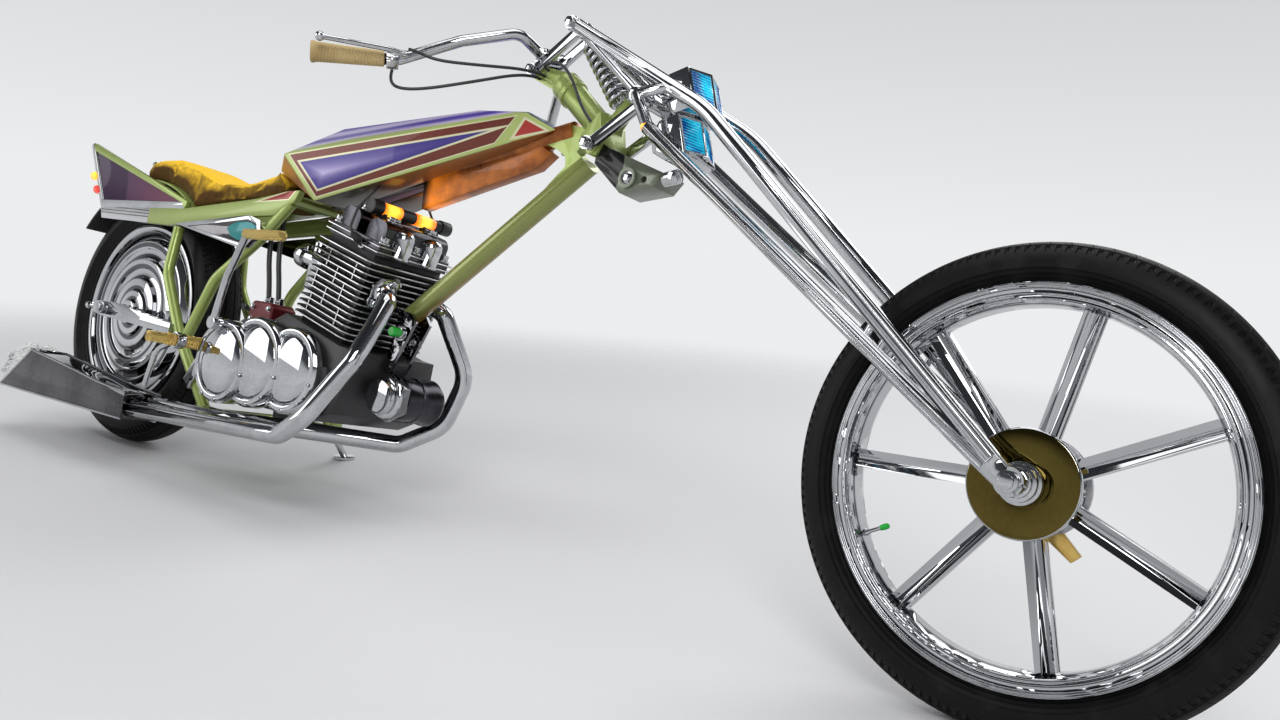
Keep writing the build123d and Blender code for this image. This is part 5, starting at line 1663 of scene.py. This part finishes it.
@dataclass
class Chain(Assembly):
    """Side plates and rollers round both sprockets."""

    drive: Flat = (0.600, 0.285)
    small_r: float = 0.0435
    large_r: float = 0.119
    y: float = 0.084
    pitch: float = 0.0159
    width: float = 0.013
    plate_r: float = 0.0052
    roller_r: float = 0.0042
    plate_thick: float = 0.0016
    # how much closer together an inner link's plates are, on each side
    inset: float = 0.0018
    steps: int = 720

    def centreline(self, hub: Vector) -> list[Flat]:
        """Points a pitch apart round both sprockets.

        Args:
            hub: the rear hub.

        Returns:
            The points as (x, z).
        """
        dx, dz = self.drive[0] - hub.x, self.drive[1] - hub.z
        run, tilt = math.hypot(dx, dz), math.atan2(dz, dx)
        spread = math.acos((self.large_r - self.small_r) / run)
        loop = arc(self.large_r, spread, math.tau - spread, self.steps)[:-1]
        loop += arc(self.small_r, -spread, spread, self.steps, run)[:-1]
        c, s = math.cos(tilt), math.sin(tilt)
        points = [(hub.x + a * c - b * s, hub.z + a * s + b * c) for a, b in loop]
        spaced, carried = [points[0]], 0.0
        for first, second in zip(points, points[1:] + points[:1]):
            length = math.dist(first, second)
            while carried + length >= self.pitch:
                share = (self.pitch - carried) / length
                first = tuple(a + (b - a) * share for a, b in zip(first, second))
                spaced.append(first)
                length, carried = math.dist(first, second), 0.0
            carried += length
        return spaced

    def link(self, wide: float) -> Piece:
        """One link, drawn about the origin.

        Args:
            wide: the distance of its plates' outer faces from the middle.

        Returns:
            The link.
        """
        half, r = self.pitch / 2, self.roller_r
        eye = arc(self.plate_r, -QUARTER, QUARTER, 6, half)
        outline = [(end * x, end * z) for end in (1, -1) for x, z in eye]
        plates = [self.shop.plate("plate", outline, side * wide, side * (wide - self.plate_thick), 0.0003, 1)
                  for side in SIDES]
        profile = [(0, -wide), (r, -wide), (r, wide), (0, wide)]
        pin = self.shop.turn("roller", profile, Vector((half, 0, 0)), 12)
        return self.shop.join("link", [*plates, pin])

    def build(self) -> None:
        """Models one inner and one outer link and copies them round."""
        points = self.centreline(self.shop.stance.rear_hub)
        kinds = [self.link(self.width / 2 - self.inset), self.link(self.width / 2)]
        links, moves = [], []
        for index, (start, end) in enumerate(zip(points, points[1:])):
            tilt = math.atan2(end[1] - start[1], end[0] - start[0])
            middle = Vector(((start[0] + end[0]) / 2, self.y, (start[1] + end[1]) / 2))
            moves.append(Matrix.Translation(middle) @ Matrix.Rotation(-tilt, 4, "Y"))
            links.append(kinds[index] if index < 2 else self.shop.copy_of(kinds[index % 2], "link", Matrix()))
        for link, move in zip(links, moves):
            link.data.transform(move)
        self.shop.mount(self.shop.join("chain_links", links), "steel", Body.FRAME, "chain")


@dataclass
class Seat(Assembly):
    """The padded velvet seat."""

    voxel: float = 0.005
    pressure: float = 4.0
    cap: float = 0.010
    frames: int = 20
    shrink: float = 0.004

    def build(self) -> None:
        """Remeshes the seat's form, blows it up a little as cloth and smooths it."""
        pad = self.shop.casting("seat", "seat_pad", 0.012, 3)
        self.shop.apply(pad, "REMESH", mode="VOXEL", voxel_size=self.voxel)
        self.shop.apply(pad, "DISPLACE", strength=-self.shrink, mid_level=0.0)
        self.shop.apply(pad, "SMOOTH", factor=0.5, iterations=6)
        self.inflate(pad)
        self.shop.apply(pad, "SUBSURF", levels=1, render_levels=1)
        self.shop.mount(pad, "gold_velvet", Body.FRAME, "seat", upright=False, angle=80.0)

    def inflate(self, pad: Piece) -> None:
        """Swells the pad by cloth pressure, with each point's move capped.

        Args:
            pad: the pad.
        """
        start = [vertex.co.copy() for vertex in pad.data.vertices]
        cloth = pad.modifiers.new("cloth", "CLOTH")
        cloth.settings.use_pressure = True
        cloth.settings.uniform_pressure_force = self.pressure
        cloth.settings.effector_weights.gravity = 0.0
        cloth.settings.quality = 4
        for frame in range(1, self.frames + 1):
            bpy.context.scene.frame_set(frame)
        self.shop.pick(pad)
        bpy.ops.object.modifier_apply(modifier=cloth.name)
        for vertex, before in zip(pad.data.vertices, start):
            move = vertex.co - before
            if move.length > self.cap:
                vertex.co = before + move.normalized() * self.cap
        bpy.context.scene.frame_set(1)


@dataclass
class Wadding(Assembly):
    """The white fluff in the exhaust's mouth: a lumpy core with short soft tufts."""

    tufts: int = 800
    length: float = 0.015
    # size and strength of the core's lumps
    lumps: tuple[Flat, ...] = ((0.026, 0.020), (0.009, 0.008))
    voxel: float = 0.0028
    sink: float = 0.007
    tuft_sink: float = 0.002
    seed: int = 11

    def build(self) -> None:
        """Lumps the core twice and scatters bent tufts over it."""
        shop = self.shop
        core = shop.casting("wadding", "wadding_core", 0.006, 3)
        shop.apply(core, "REMESH", mode="VOXEL", voxel_size=self.voxel)
        shop.apply(core, "DISPLACE", strength=-self.sink, mid_level=0.0)
        for size, strength in self.lumps:
            clouds = bpy.data.textures.new("fluff_clouds", "CLOUDS")
            clouds.noise_scale = size
            clouds.noise_depth = 3
            shop.apply(core, "DISPLACE", texture=clouds, texture_coords="LOCAL", strength=strength,
                       mid_level=0.6)
        shop.apply(core, "SMOOTH", factor=0.5, iterations=2)
        tuft = shop.turn("tuft", [(0.0018, 0), (0.0015, self.length * 0.5), (0, self.length)], segments=4)
        picker = random.Random(self.seed)
        faces = list(core.data.polygons)
        pieces = []
        for _ in range(self.tufts):
            face = picker.choice(faces)
            lean = Vector([picker.uniform(-1.0, 1.0) for _ in range(3)])
            way = (face.normal + lean).normalized()
            size = picker.uniform(0.5, 1.1)
            foot = Matrix.Translation(face.center - face.normal * self.tuft_sink)
            pieces.append(shop.copy_of(tuft, "tuft", foot @ pointing(way) @ Matrix.Scale(size, 4)))
        shop.pick(tuft)
        bpy.ops.object.delete()
        wool = shop.join("wadding_fluff", [core, *pieces])
        shop.mount(wool, "white_wool", Body.FRAME, "wadding", upright=False, angle=80.0)


@dataclass
class TailTrim(Assembly):
    """Bright rolled edges round the flared exhaust tail."""

    sides: Flat = (-0.2225, -0.1365)
    bead: float = 0.0032
    # edges of the flat sides, and the mouth's two ends, as (x, z)
    runs: tuple = (
        ((0.328, 0.154), (0.250, 0.154), (0.080, 0.172), (-0.025, 0.181), (-0.131, 0.190)),
        ((0.328, 0.092), (0.174, 0.090), (-0.040, 0.087), (-0.260, 0.084)),
        ((-0.131, 0.190), (-0.195, 0.137), (-0.260, 0.084)),
    )
    ends: tuple[Flat, ...] = ((-0.131, 0.190), (-0.260, 0.084))

    def build(self) -> None:
        """Runs a bead along each edge of both flat sides and across the mouth's ends."""
        low, high = self.sides
        routes = [[(x, y, z) for x, z in run] for run in self.runs for y in self.sides]
        routes += [[(x, y, z) for y in (low, (low + high) / 2, high)] for x, z in self.ends]
        beads = [self.shop.pipe("bead", route, self.bead, 3) for route in routes]
        self.shop.mount(self.shop.join("tail_edges", beads), "chrome")


@dataclass
class Lamps(Assembly):
    """The framed headlamp panes, the tube lamp and the tail lamps."""

    pane_border: float = 0.0042
    pane_sunk: float = 0.0012
    # how far up the panes face, in degrees
    pane_tilt: float = 21.0
    amber_above: float = 0.654
    tube_axis: Flat = (0.856, 0.652)
    glass_r: float = 0.0137
    # where the two glowing segments start and end
    segments: tuple[Flat, ...] = ((-0.050, 0.006), (0.042, 0.104))
    grooves: int = 7
    cuff: Flat = (0.002, 0.003)

    def build(self) -> None:
        """Builds every lamp."""
        self.add_panes()
        self.shop.recast("light_tube", "black_metal", Body.FRAME, 0.0012)
        self.add_glass()
        tails = self.shop.recast("tail_lamps", "lamp_red", Body.FRAME, 0.002, 3)
        self.shop.paint(tails, "amber", lambda at, way: at.z > self.amber_above)

    def add_panes(self) -> None:
        """Two ridged panes to each headlamp, each in a thin bright frame."""
        lens = self.shop.casting("headlamp_lenses", "headlamp_panes", 0.0)
        tilt = math.radians(self.pane_tilt)
        ahead = self.shop.stance.matrix.to_3x3() @ Vector((math.cos(tilt), 0, math.sin(tilt)))
        self.shop.select_faces(lens, lambda at, way: way.dot(ahead) > 0.8)
        bpy.ops.mesh.inset(thickness=self.pane_border, use_individual=True)
        bpy.ops.mesh.extrude_region_shrink_fatten(TRANSFORM_OT_shrink_fatten={"value": -self.pane_sunk})
        bpy.ops.object.mode_set(mode="OBJECT")
        chosen = {face.index for face in lens.data.polygons if face.select}
        self.shop.mount(lens, "chrome", Body.FORK, "headlamp_lenses", upright=False)
        lens.data.materials.append(self.shop.materials["blue_lens"])
        for index in chosen:
            lens.data.polygons[index].material_index = 1

    def add_glass(self) -> None:
        """The tube lamp's two glowing segments, with fine grooves round them."""
        r, (sunk, cuff) = self.glass_r, self.cuff
        hub = Vector((self.tube_axis[0], 0, self.tube_axis[1]))
        glass = []
        for low, high in self.segments:
            ring = [(r - sunk, low), (r, low + cuff)]
            for step in range(1, self.grooves + 1):
                y = low + cuff + (high - low - 2 * cuff) * step / (self.grooves + 1)
                ring += [(r, y), (r - 0.0005, y + 0.0007), (r, y + 0.0014)]
            ring += [(r, high - cuff), (r - sunk, high)]
            glass.append(self.shop.turn("tube_glass", ring, hub, 48))
        self.shop.mount(self.shop.join("tube_glasses", glass), "tube_amber")


@dataclass
class Grips(Assembly):
    """Wrapped grips that flare to the ends of the bar."""

    start: Point = (1.030, 0.228, 0.903)
    end: Point = (0.933, 0.342, 0.880)
    first: float = 0.022
    length: float = 0.134
    wraps: int = 22
    # the first wrap's radius, and how much larger the last one is
    wrap_r: Flat = (0.0148, 0.0038)

    def build(self) -> None:
        """Turns one ridged grip and mirrors it."""
        profile = mm((11.8, 0), (14.5, 1))
        step = (self.length - 0.012) / self.wraps
        for turn in range(self.wraps):
            base = self.wrap_r[0] + self.wrap_r[1] * turn / (self.wraps - 1)
            y = 0.002 + step * turn
            profile += [(base - 0.0009, y), (base, y + step * 0.3), (base, y + step * 0.7)]
        flare = mm((19.2, -9), (20.5, -6), (20.5, -2), (18.5, 0), (0, 0))
        profile += [(r, self.length + y) for r, y in flare]
        start = Vector(self.start)
        way = (Vector(self.end) - start).normalized()
        grip = self.shop.turn("grip_left", profile, segments=40)
        self.shop.aimed(grip, start + way * self.first, way)
        both = self.shop.join("wrapped_grips", [grip, self.shop.mirrored(grip, "grip_right")])
        self.shop.mount(both, "ivory_wrap", Body.FORK, "grips", angle=50.0)


@dataclass
class Controls(Assembly):
    """The pegs' knurl and beads, with the hangers and the brake arm."""

    # side, word, finish and axis as (x, z)
    pegs: tuple = (
        (RIGHT, "right", "gold_knurl", (0.468, 0.292)),
        (LEFT, "left", "left_knurl", (0.47667, 0.28371)),
    )
    root: float = 0.136
    peg_in: float = 0.140
    shoulder: float = 0.232
    body_r: float = 0.013
    near: float = 0.0145
    bead: float = 0.0014
    beads: int = 14
    # where the brake arm's clamp leaves out the right peg's beads
    clamp: Flat = (0.192, 0.220)

    def build(self) -> None:
        """Dresses the foot controls and adds the pegs' beads."""
        piece = self.shop.recast("foot_controls", "chrome", Body.FRAME, 0.001)
        for side, word, finish, axis in self.pegs:
            self.shop.paint(piece, finish, self.on_peg(side, axis))
            profile = [(r, side * y) for r, y in self.beaded(side)]
            beads = self.shop.turn(f"peg_beads_{word}", profile, Vector((axis[0], 0, axis[1])), 40)
            self.shop.mount(beads, finish)

    def beaded(self, side: int) -> list[Flat]:
        """The beads' outline on one peg.

        Args:
            side: RIGHT or LEFT.

        Returns:
            The outline as radius and distance from the machine's middle.
        """
        r, high = self.body_r, self.body_r + self.bead
        step = (self.shoulder - self.peg_in) / self.beads
        profile = [(r, self.peg_in)]
        for bead in range(self.beads):
            y = self.peg_in + bead * step
            if side == LEFT or not self.clamp[0] < y + step / 2 < self.clamp[1]:
                profile += [(r, y), (high, y + step * 0.25), (high, y + step * 0.75), (r, y + step)]
        return profile + [(r, self.shoulder)]

    def on_peg(self, side: int, axis: Flat) -> Chosen:
        """A test for the faces of one round peg."""
        x, z = axis
        return lambda at, way: at.y * side > self.root and math.hypot(at.x - x, at.z - z) < self.near


@dataclass
class Bodywork(Assembly):
    """Tail fins, side wedges and the neck box."""

    fin_panel_y: Flat = (0.0855, 0.0905)
    # the fins' top edge as its rear (x, z) and its slope, and the painted bar's depth and rear end
    fin_top: Point = (-0.296, 0.760, -0.276)
    fin_bar: Flat = (-0.017, -0.24)
    wedge_floor_y: float = 0.1143
    # the teal inlay's outline as (x, z) in millimetres
    teal: tuple[Flat, ...] = ((422, 564), (436, 574.5), (460, 582.5), (490, 585), (515, 582.5), (531, 576),
                              (531, 566), (512, 548), (494, 538.5), (468, 540), (440, 548))
    # the neck box's bright front, and the middle, radius and face of its bright rings
    neck_front: float = 1.5565
    neck_ring: Flat = (1.480, 0.745)
    ring_r: float = 0.0150
    ring_y: float = 0.0345

    def build(self) -> None:
        """Dresses each with its own colours."""
        fins = self.shop.recast("tail_fins", "chrome", Body.FRAME, 0.0012)
        self.shop.paint(fins, "violet_panel", self.on_panel)
        self.shop.paint(fins, "lime_paint", self.on_top_bar)
        wedges = self.shop.recast("side_wedges", "chrome", Body.FRAME, 0.002)
        self.shop.paint(wedges, "tail_mirror", self.on_wedge_floor)
        self.add_teal()
        neck = self.shop.recast("neck_box", "neck_paint", Body.FORK, 0.002)
        self.shop.paint(neck, "chrome", self.on_neck_trim)

    def on_panel(self, at: Vector, way: Vector) -> bool:
        """The thin panels inside the fins' rims."""
        low, high = self.fin_panel_y
        return low < abs(at.y) < high and abs(way.y) > 0.9

    def on_top_bar(self, at: Vector, _: Vector) -> bool:
        """The fins' painted top bar, apart from its bright tip."""
        x, z, slope = self.fin_top
        return at.z - (z + (at.x - x) * slope) > self.fin_bar[0] and at.x > self.fin_bar[1]

    def on_wedge_floor(self, at: Vector, way: Vector) -> bool:
        """The wedges' sunk panels."""
        return abs(at.y) < self.wedge_floor_y + 0.001 and abs(way.y) > 0.9

    def on_neck_trim(self, at: Vector, _: Vector) -> bool:
        """The neck box's front, and the rings round its bolts."""
        near = math.hypot(at.x - self.neck_ring[0], at.z - self.neck_ring[1]) < self.ring_r
        return at.x > self.neck_front or (near and abs(at.y) > self.ring_y)

    def add_teal(self) -> None:
        """The teal inlay in the front of each wedge's sunk panel."""
        floor = -self.wedge_floor_y
        inlay = self.shop.plate("teal_inlay", mm(*self.teal), floor + 0.0004, floor - 0.0016, 0.0012, 3)
        both = self.shop.join("teal_inlays", [inlay, self.shop.mirrored(inlay, "teal_inlay_left")])
        self.shop.mount(both, "teal_paint")


@dataclass
class Engine(Assembly):
    """Fins with bright edges, their ribs, covers, screws, plugs and pipes."""

    base: Flat = (0.800, 0.372)
    tilt: float = 14.0
    fin_pitch: float = 0.013
    fin_half: float = 0.112
    fin_reach: float = 0.098
    fin_edge: float = 0.016
    first_fin: float = 0.014
    # ribs between fins as first fin, last fin and distance in front of the cylinders' axis
    ribs: tuple[Point, ...] = ((1, 4, -0.052), (1, 4, 0.048), (3, 6, -0.012), (5, 8, -0.060), (5, 8, 0.036),
                               (7, 10, 0.000), (9, 12, -0.040), (9, 12, 0.052))
    rib_half: float = 0.0012
    # the head's thin fins: heights, thickness and half sizes along and across
    head_fins: Flat = (0.2045, 0.2165)
    head_fin: Point = (0.0028, 0.091, 0.105)
    # the covers' lobes as x, z, radius and distance of the face from the middle
    lobes: tuple = ((0.579, 0.267, 0.092, 0.172), (0.672, 0.279, 0.098, 0.160), (0.780, 0.278, 0.092, 0.148))
    # how far inside its lobe a dome stays, how deep it starts and how far it rises
    dome: Point = (0.0165, 0.0055, 0.017)
    # a head cap's foot as height, distance ahead and distance across
    cap_foot: Point = (0.204, 0.080, 0.040)
    # nuts as height, distance ahead, places across, size and height of the head
    nuts: tuple = (
        (0.2243, -0.078, (-0.086, -0.030, 0.030, 0.086), 0.017, 0.012),
        (0.2243, 0.078, (-0.086, 0.0, 0.086), 0.017, 0.012),
        (0.2703, -0.046, (-0.052, 0.052), 0.024, 0.008),
        (0.2703, 0.046, (-0.052, 0.052), 0.024, 0.008),
    )
    port: Point = (0.130, 0.1035, 0.066)
    port_turn: float = 64.0
    flange: float = 0.0075
    canister: Flat = (0.9803, 0.262)
    # the front hose's path as (x, y, z), and how far behind it the other one is
    hose: tuple[Point, ...] = ((0.512, -0.060, 0.648), (0.514, -0.060, 0.600), (0.522, -0.062, 0.520),
                               (0.548, -0.062, 0.450), (0.556, -0.060, 0.405))
    hose_gap: float = 0.036
    green_plug: Flat = (0.973, 0.398)

    def point(self, up: float, ahead: float, y: float = 0.0) -> Vector:
        """A point by its height up the cylinders and its distance in front of their axis."""
        x, z, tilt = *self.base, math.radians(self.tilt)
        return Vector((x + up * math.sin(tilt) + ahead * math.cos(tilt), y,
                       z + up * math.cos(tilt) - ahead * math.sin(tilt)))

    @functools.cached_property
    def up(self) -> Vector:
        """The way up the cylinders."""
        return (self.point(1, 0) - self.point(0, 0)).normalized()

    @functools.cached_property
    def ahead(self) -> Vector:
        """The way forward, square to the cylinders."""
        return (self.point(0, 1) - self.point(0, 0)).normalized()

    def oblong(self, low: float, high: float, back: float, front: float) -> list[Flat]:
        """The (x, z) corners of an oblong between two heights and two distances in front of the axis."""
        corners = ((low, back), (low, front), (high, front), (high, back))
        return [(self.point(*corner).x, self.point(*corner).z) for corner in corners]

    def build(self) -> None:
        """Dresses the block and adds the small pieces."""
        block = self.shop.recast("cylinder_block", "black_metal", Body.FRAME, 0.0006, 1)
        self.shop.paint(block, "fin_edge", self.on_edge)
        self.add_ribs()
        self.add_head_fins()
        self.add_domes()
        self.add_caps()
        self.add_screws()
        self.add_plugs()
        self.add_ports()
        self.add_canister()
        self.add_hoses()
        self.add_block()

    def on_edge(self, at: Vector, way: Vector) -> bool:
        """The fins' outer edges."""
        out = abs((at - self.point(0, 0)).dot(self.ahead)) > self.fin_reach - self.fin_edge
        return (out or abs(at.y) > self.fin_half - self.fin_edge) and abs(way.dot(self.up)) < 0.8

    def add_ribs(self) -> None:
        """The short bright ribs that tie pairs of fins."""
        ribs = []
        for first, last, ahead in self.ribs:
            low, high = (self.first_fin + fin * self.fin_pitch for fin in (first, last))
            outline = self.oblong(low, high, ahead - self.rib_half, ahead + self.rib_half)
            for side in SIDES:
                y = side * (self.fin_half - 0.004)
                ribs.append(self.shop.plate("rib", outline, y - 0.003, y + 0.003, 0.0004, 1))
        self.shop.mount(self.shop.join("fin_ribs", ribs), "fin_edge")

    def add_head_fins(self) -> None:
        """Two thin fins round the head's deck, with bright edges like the block's."""
        thick, reach, half = self.head_fin
        fins = [self.shop.plate("fin", self.oblong(low, low + thick, -reach, reach), -half, half, 0.0006, 1)
                for low in self.head_fins]
        whole = self.shop.mount(self.shop.join("head_fins", fins), "black_metal")
        self.shop.paint(whole, "fin_edge", self.on_edge)

    def add_domes(self) -> None:
        """The covers' domed faces."""
        domes = []
        inside, start, rise = self.dome
        for x, z, radius, face in self.lobes:
            bow = arc(1.0, 0.0, QUARTER, 12)
            profile = [((radius - inside) * a, start - face - rise * b) for a, b in bow]
            domes.append(self.shop.turn("dome", profile, Vector((x, 0, z))))
        self.shop.mount(self.shop.join("cover_domes", domes), "chrome", angle=60.0)

    def add_caps(self) -> None:
        """The two bright caps that stand before the rocker boxes."""
        profile = mm((0, -2), (22.5, -2), (24.5, 0), (24.5, 4), (22.5, 6), (22.5, 40), (20.5, 50), (15, 57),
                     (7, 60), (0, 60.5))
        up, ahead, y = self.cap_foot
        caps = [self.shop.aimed(self.shop.turn("cap", profile, segments=48), self.point(up, ahead, side * y),
                                self.up) for side in SIDES]
        self.shop.mount(self.shop.join("head_caps", caps), "chrome", angle=60.0)

    def add_screws(self) -> None:
        """Cover screws and the head's nuts."""
        screws = []
        for x, z, radius, face in self.lobes:
            for index in range(5):
                angle, r = math.radians(-150 + index * 34), radius - 0.0075
                place = (x + math.cos(angle) * r, -face + 0.0005, z + math.sin(angle) * r)
                screws.append((place, -ACROSS, 0.009, 0.004))
        nuts = [(self.point(up, ahead, y), self.up, size, height)
                for up, ahead, places, size, height in self.nuts for y in places]
        for name, make, rows in (("cover_screws", self.shop.socket_head, screws),
                                 ("head_nuts", self.shop.hex_head, nuts)):
            self.shop.mount(self.shop.fasteners(name, make, rows), "chrome")

    def add_plugs(self) -> None:
        """A spark plug on each side, with its black cap and a lead that goes up under the tank."""
        shop, plugs, leads = self.shop, [], []
        plug = mm((0, -6), (11, -6), (11, 4), (7.5, 6), (6.5, 26), (0, 26))
        cap = mm((0, 16), (8, 16), (8.8, 24), (7, 36), (4.2, 42), (0, 42))
        for side in SIDES:
            foot = self.point(0.205, 0.030, side * 0.094)
            way = Vector((0.10, side * 0.90, 0.40)).normalized()
            plugs.append(shop.aimed(shop.turn("plug", plug, segments=24), foot, way))
            leads.append(shop.aimed(shop.turn("plug_cap", cap, segments=24), foot, way))
            top = foot + way * 0.040
            route = [top, top + way * 0.010 + Vector((0, 0, 0.004)), self.point(0.240, 0.010, side * 0.126),
                     self.point(0.285, -0.010, side * 0.108), self.point(0.335, -0.020, side * 0.060)]
            leads.append(shop.pipe("plug_lead", route, 0.0028))
        shop.mount(shop.join("spark_plugs", plugs), "chrome")
        shop.mount(shop.join("plug_caps", leads), "black_cable")

    def add_ports(self) -> None:
        """A two-lobed flange with two bolts round each exhaust port."""
        shop, flanges, bolts = self.shop, [], []
        half = [*arc(0.014, -QUARTER, QUARTER, 8, 0.030), *mm((12, 33), (-12, 33))]
        outline = [(end * x, end * z) for end in (1, -1) for x, z in half]
        up, ahead, y = self.port
        for side in SIDES:
            flange = shop.plate("flange", outline, 0.0, self.flange, 0.0016)
            turn = Matrix.Rotation(math.radians(self.port_turn) * -side, 4, "Y")
            flange.data.transform(turn)
            place = self.point(up, ahead, side * y)
            flanges.append(shop.aimed(flange, place, self.ahead))
            for end in (1, -1):
                spot = pointing(self.ahead) @ turn @ Vector((end * 0.031, self.flange, 0))
                bolts.append((place + spot, self.ahead, 0.013, 0.009))
        shop.mount(shop.join("port_flanges", flanges), "dark_chrome")
        shop.mount(shop.fasteners("port_bolts", shop.hex_head, bolts), "chrome")

    def add_canister(self) -> None:
        """The canister across the front: a pale end, a six-sided collar and a dark ringed body."""
        hub = Vector((self.canister[0], 0, self.canister[1]))
        body = mm((0, -20), (44, -20), (45, -18), (45, 20), (47.8, 22), (47.8, 28), (45.5, 30), (46, 44),
                  (50, 62), (50, 70), (47, 72), (42, 82), (30, 84), (0, 84))
        end = mm((0, -70), (26, -70), (34, -68), (37.5, -62), (37.5, -56), (34, -54), (34, -50), (41.5, -48),
                 (43.5, -46), (43.5, -40), (0, -40))
        collar = mm((0, -42), (44, -42), (50, -38), (50, -22), (46, -18), (0, -18))
        six = self.shop.turn("collar", collar, hub, 6)
        self.shop.soften(six, 0.0012)
        whole = self.shop.turn("canister_body", body, hub, 64)
        self.shop.mount(whole, "head_metal", Body.FRAME, "oil_filter")
        self.shop.mount(self.shop.turn("canister_end", end, hub, 64), "chrome")
        self.shop.mount(six, "dark_chrome")

    def add_hoses(self) -> None:
        """Two black hoses that come down behind the engine."""
        hoses = [self.shop.pipe("hose", [(x + shift, y, z) for x, y, z in self.hose], 0.0058)
                 for shift in (0.0, self.hose_gap)]
        self.shop.mount(self.shop.join("oil_hoses", hoses), "black_cable")

    def add_block(self) -> None:
        """The dark red block under the hoses, its fittings and the green plug by the down tube."""
        outline = mm((536, 358), (620, 362), (620, 402), (606, 412), (548, 412), (536, 400))
        block = self.shop.plate("oil_block", outline, -0.094, -0.030, 0.004, 3)
        self.shop.mount(block, "dark_red")
        rows = [((x, -0.0935, z), -ACROSS, 0.009, 0.005) for x in (0.549, 0.608) for z in (0.370, 0.398)]
        rows += [((0.556 + shift, -0.060, 0.411), (0, 0, 1), 0.019, 0.012) for shift in (0.0, self.hose_gap)]
        x, z = self.green_plug
        rows.append(((x, -0.0305, z), -ACROSS, 0.022, 0.006))
        fittings = self.shop.fasteners("oil_fittings", self.shop.hex_head, rows)
        self.shop.mount(fittings, "chrome")
        profile = mm((0, -36), (9.5, -36), (9.5, -48), (10.5, -50), (10.5, -56), (8.5, -60), (0, -60))
        self.shop.mount(self.shop.turn("green_plug", profile, Vector((x, 0, z)), 24), "green_cap")


@dataclass
class Fork(Assembly):
    """The fork's control cables, its bolts and the markers on its legs."""

    cable_r: float = 0.003
    leg_top: Point = (1.541, -0.086, 0.822)
    leg_foot: Point = (2.242, -0.104, 0.3428)
    lever: tuple[Point, ...] = ((1.063, -0.2304, 0.9226), (1.084, -0.226, 0.918), (1.114, -0.205, 0.909),
                                (1.159, -0.150, 0.920), (1.216, -0.052, 0.945), (1.216, -0.016, 0.945))
    collar: tuple[Point, ...] = ((1.0278, -0.2316, 0.882), (1.036, -0.240, 0.858), (1.062, -0.236, 0.844),
                                 (1.092, -0.200, 0.856), (1.144, -0.140, 0.890), (1.204, -0.052, 0.940),
                                 (1.204, -0.016, 0.940))
    down: tuple[Point, ...] = ((1.222, -0.016, 0.958), (1.222, -0.035, 0.958), (1.248, -0.039, 0.965),
                               (1.276, -0.040, 0.960), (1.309, -0.040, 0.930), (1.3475, -0.038, 0.8672),
                               (1.3743, -0.038, 0.8462))
    # bolts on both sides as x, distance across, z, size and height
    bolts: tuple = (
        (1.190, 0.032, 0.955, 0.016, 0.007),
        (1.290, 0.054, 1.036, 0.018, 0.007),
        (1.389, 0.062, 0.801, 0.018, 0.007),
        (1.500, 0.084, 0.884, 0.020, 0.007),
        (1.480, 0.0325, 0.745, 0.016, 0.006),
    )

    def build(self) -> None:
        """Adds the cables, the bolts and the markers."""
        routes = (self.lever, self.collar, self.down)
        cables = [self.shop.pipe("cable", route, self.cable_r) for route in routes]
        self.shop.mount(self.shop.join("control_cables", cables), "black_cable", Body.FORK, "fork_cables")
        rows = [((x, side * y, z), (0, side, 0), size, height)
                for side in SIDES for x, y, z, size, height in self.bolts]
        self.shop.mount(self.shop.fasteners("fork_bolts", self.shop.hex_head, rows), "chrome", Body.FORK)
        self.add_markers()

    def add_markers(self) -> None:
        """A small amber lens on the upper end of each rear leg."""
        profile = mm((0, -2), (10.5, -2), (11.5, 2), (10.5, 8), (7, 13), (0, 15))
        top, foot = Vector(self.leg_top), Vector(self.leg_foot)
        marker = self.shop.turn("marker", profile, segments=32)
        self.shop.aimed(marker, top, (top - foot).normalized())
        both = self.shop.join("amber_markers", [marker, self.shop.mirrored(marker, "marker_left")])
        self.shop.mount(both, "amber", Body.FORK)


def main() -> None:
    """Builds the stage and the pieces."""
    logging.basicConfig(level=logging.INFO, format="%(message)s")
    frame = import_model()
    Studio().build()
    shop = Workshop(frame, Stance(frame))
    for assembly in (Castings, Wheels, Chain, Seat, Wadding, TailTrim, Lamps, Grips, Controls, Bodywork,
                     Engine, Fork):
        assembly(shop).build()
        LOG.info("%s built", assembly.__name__)


if __name__ == "__main__":
    random.seed(7)
    main()
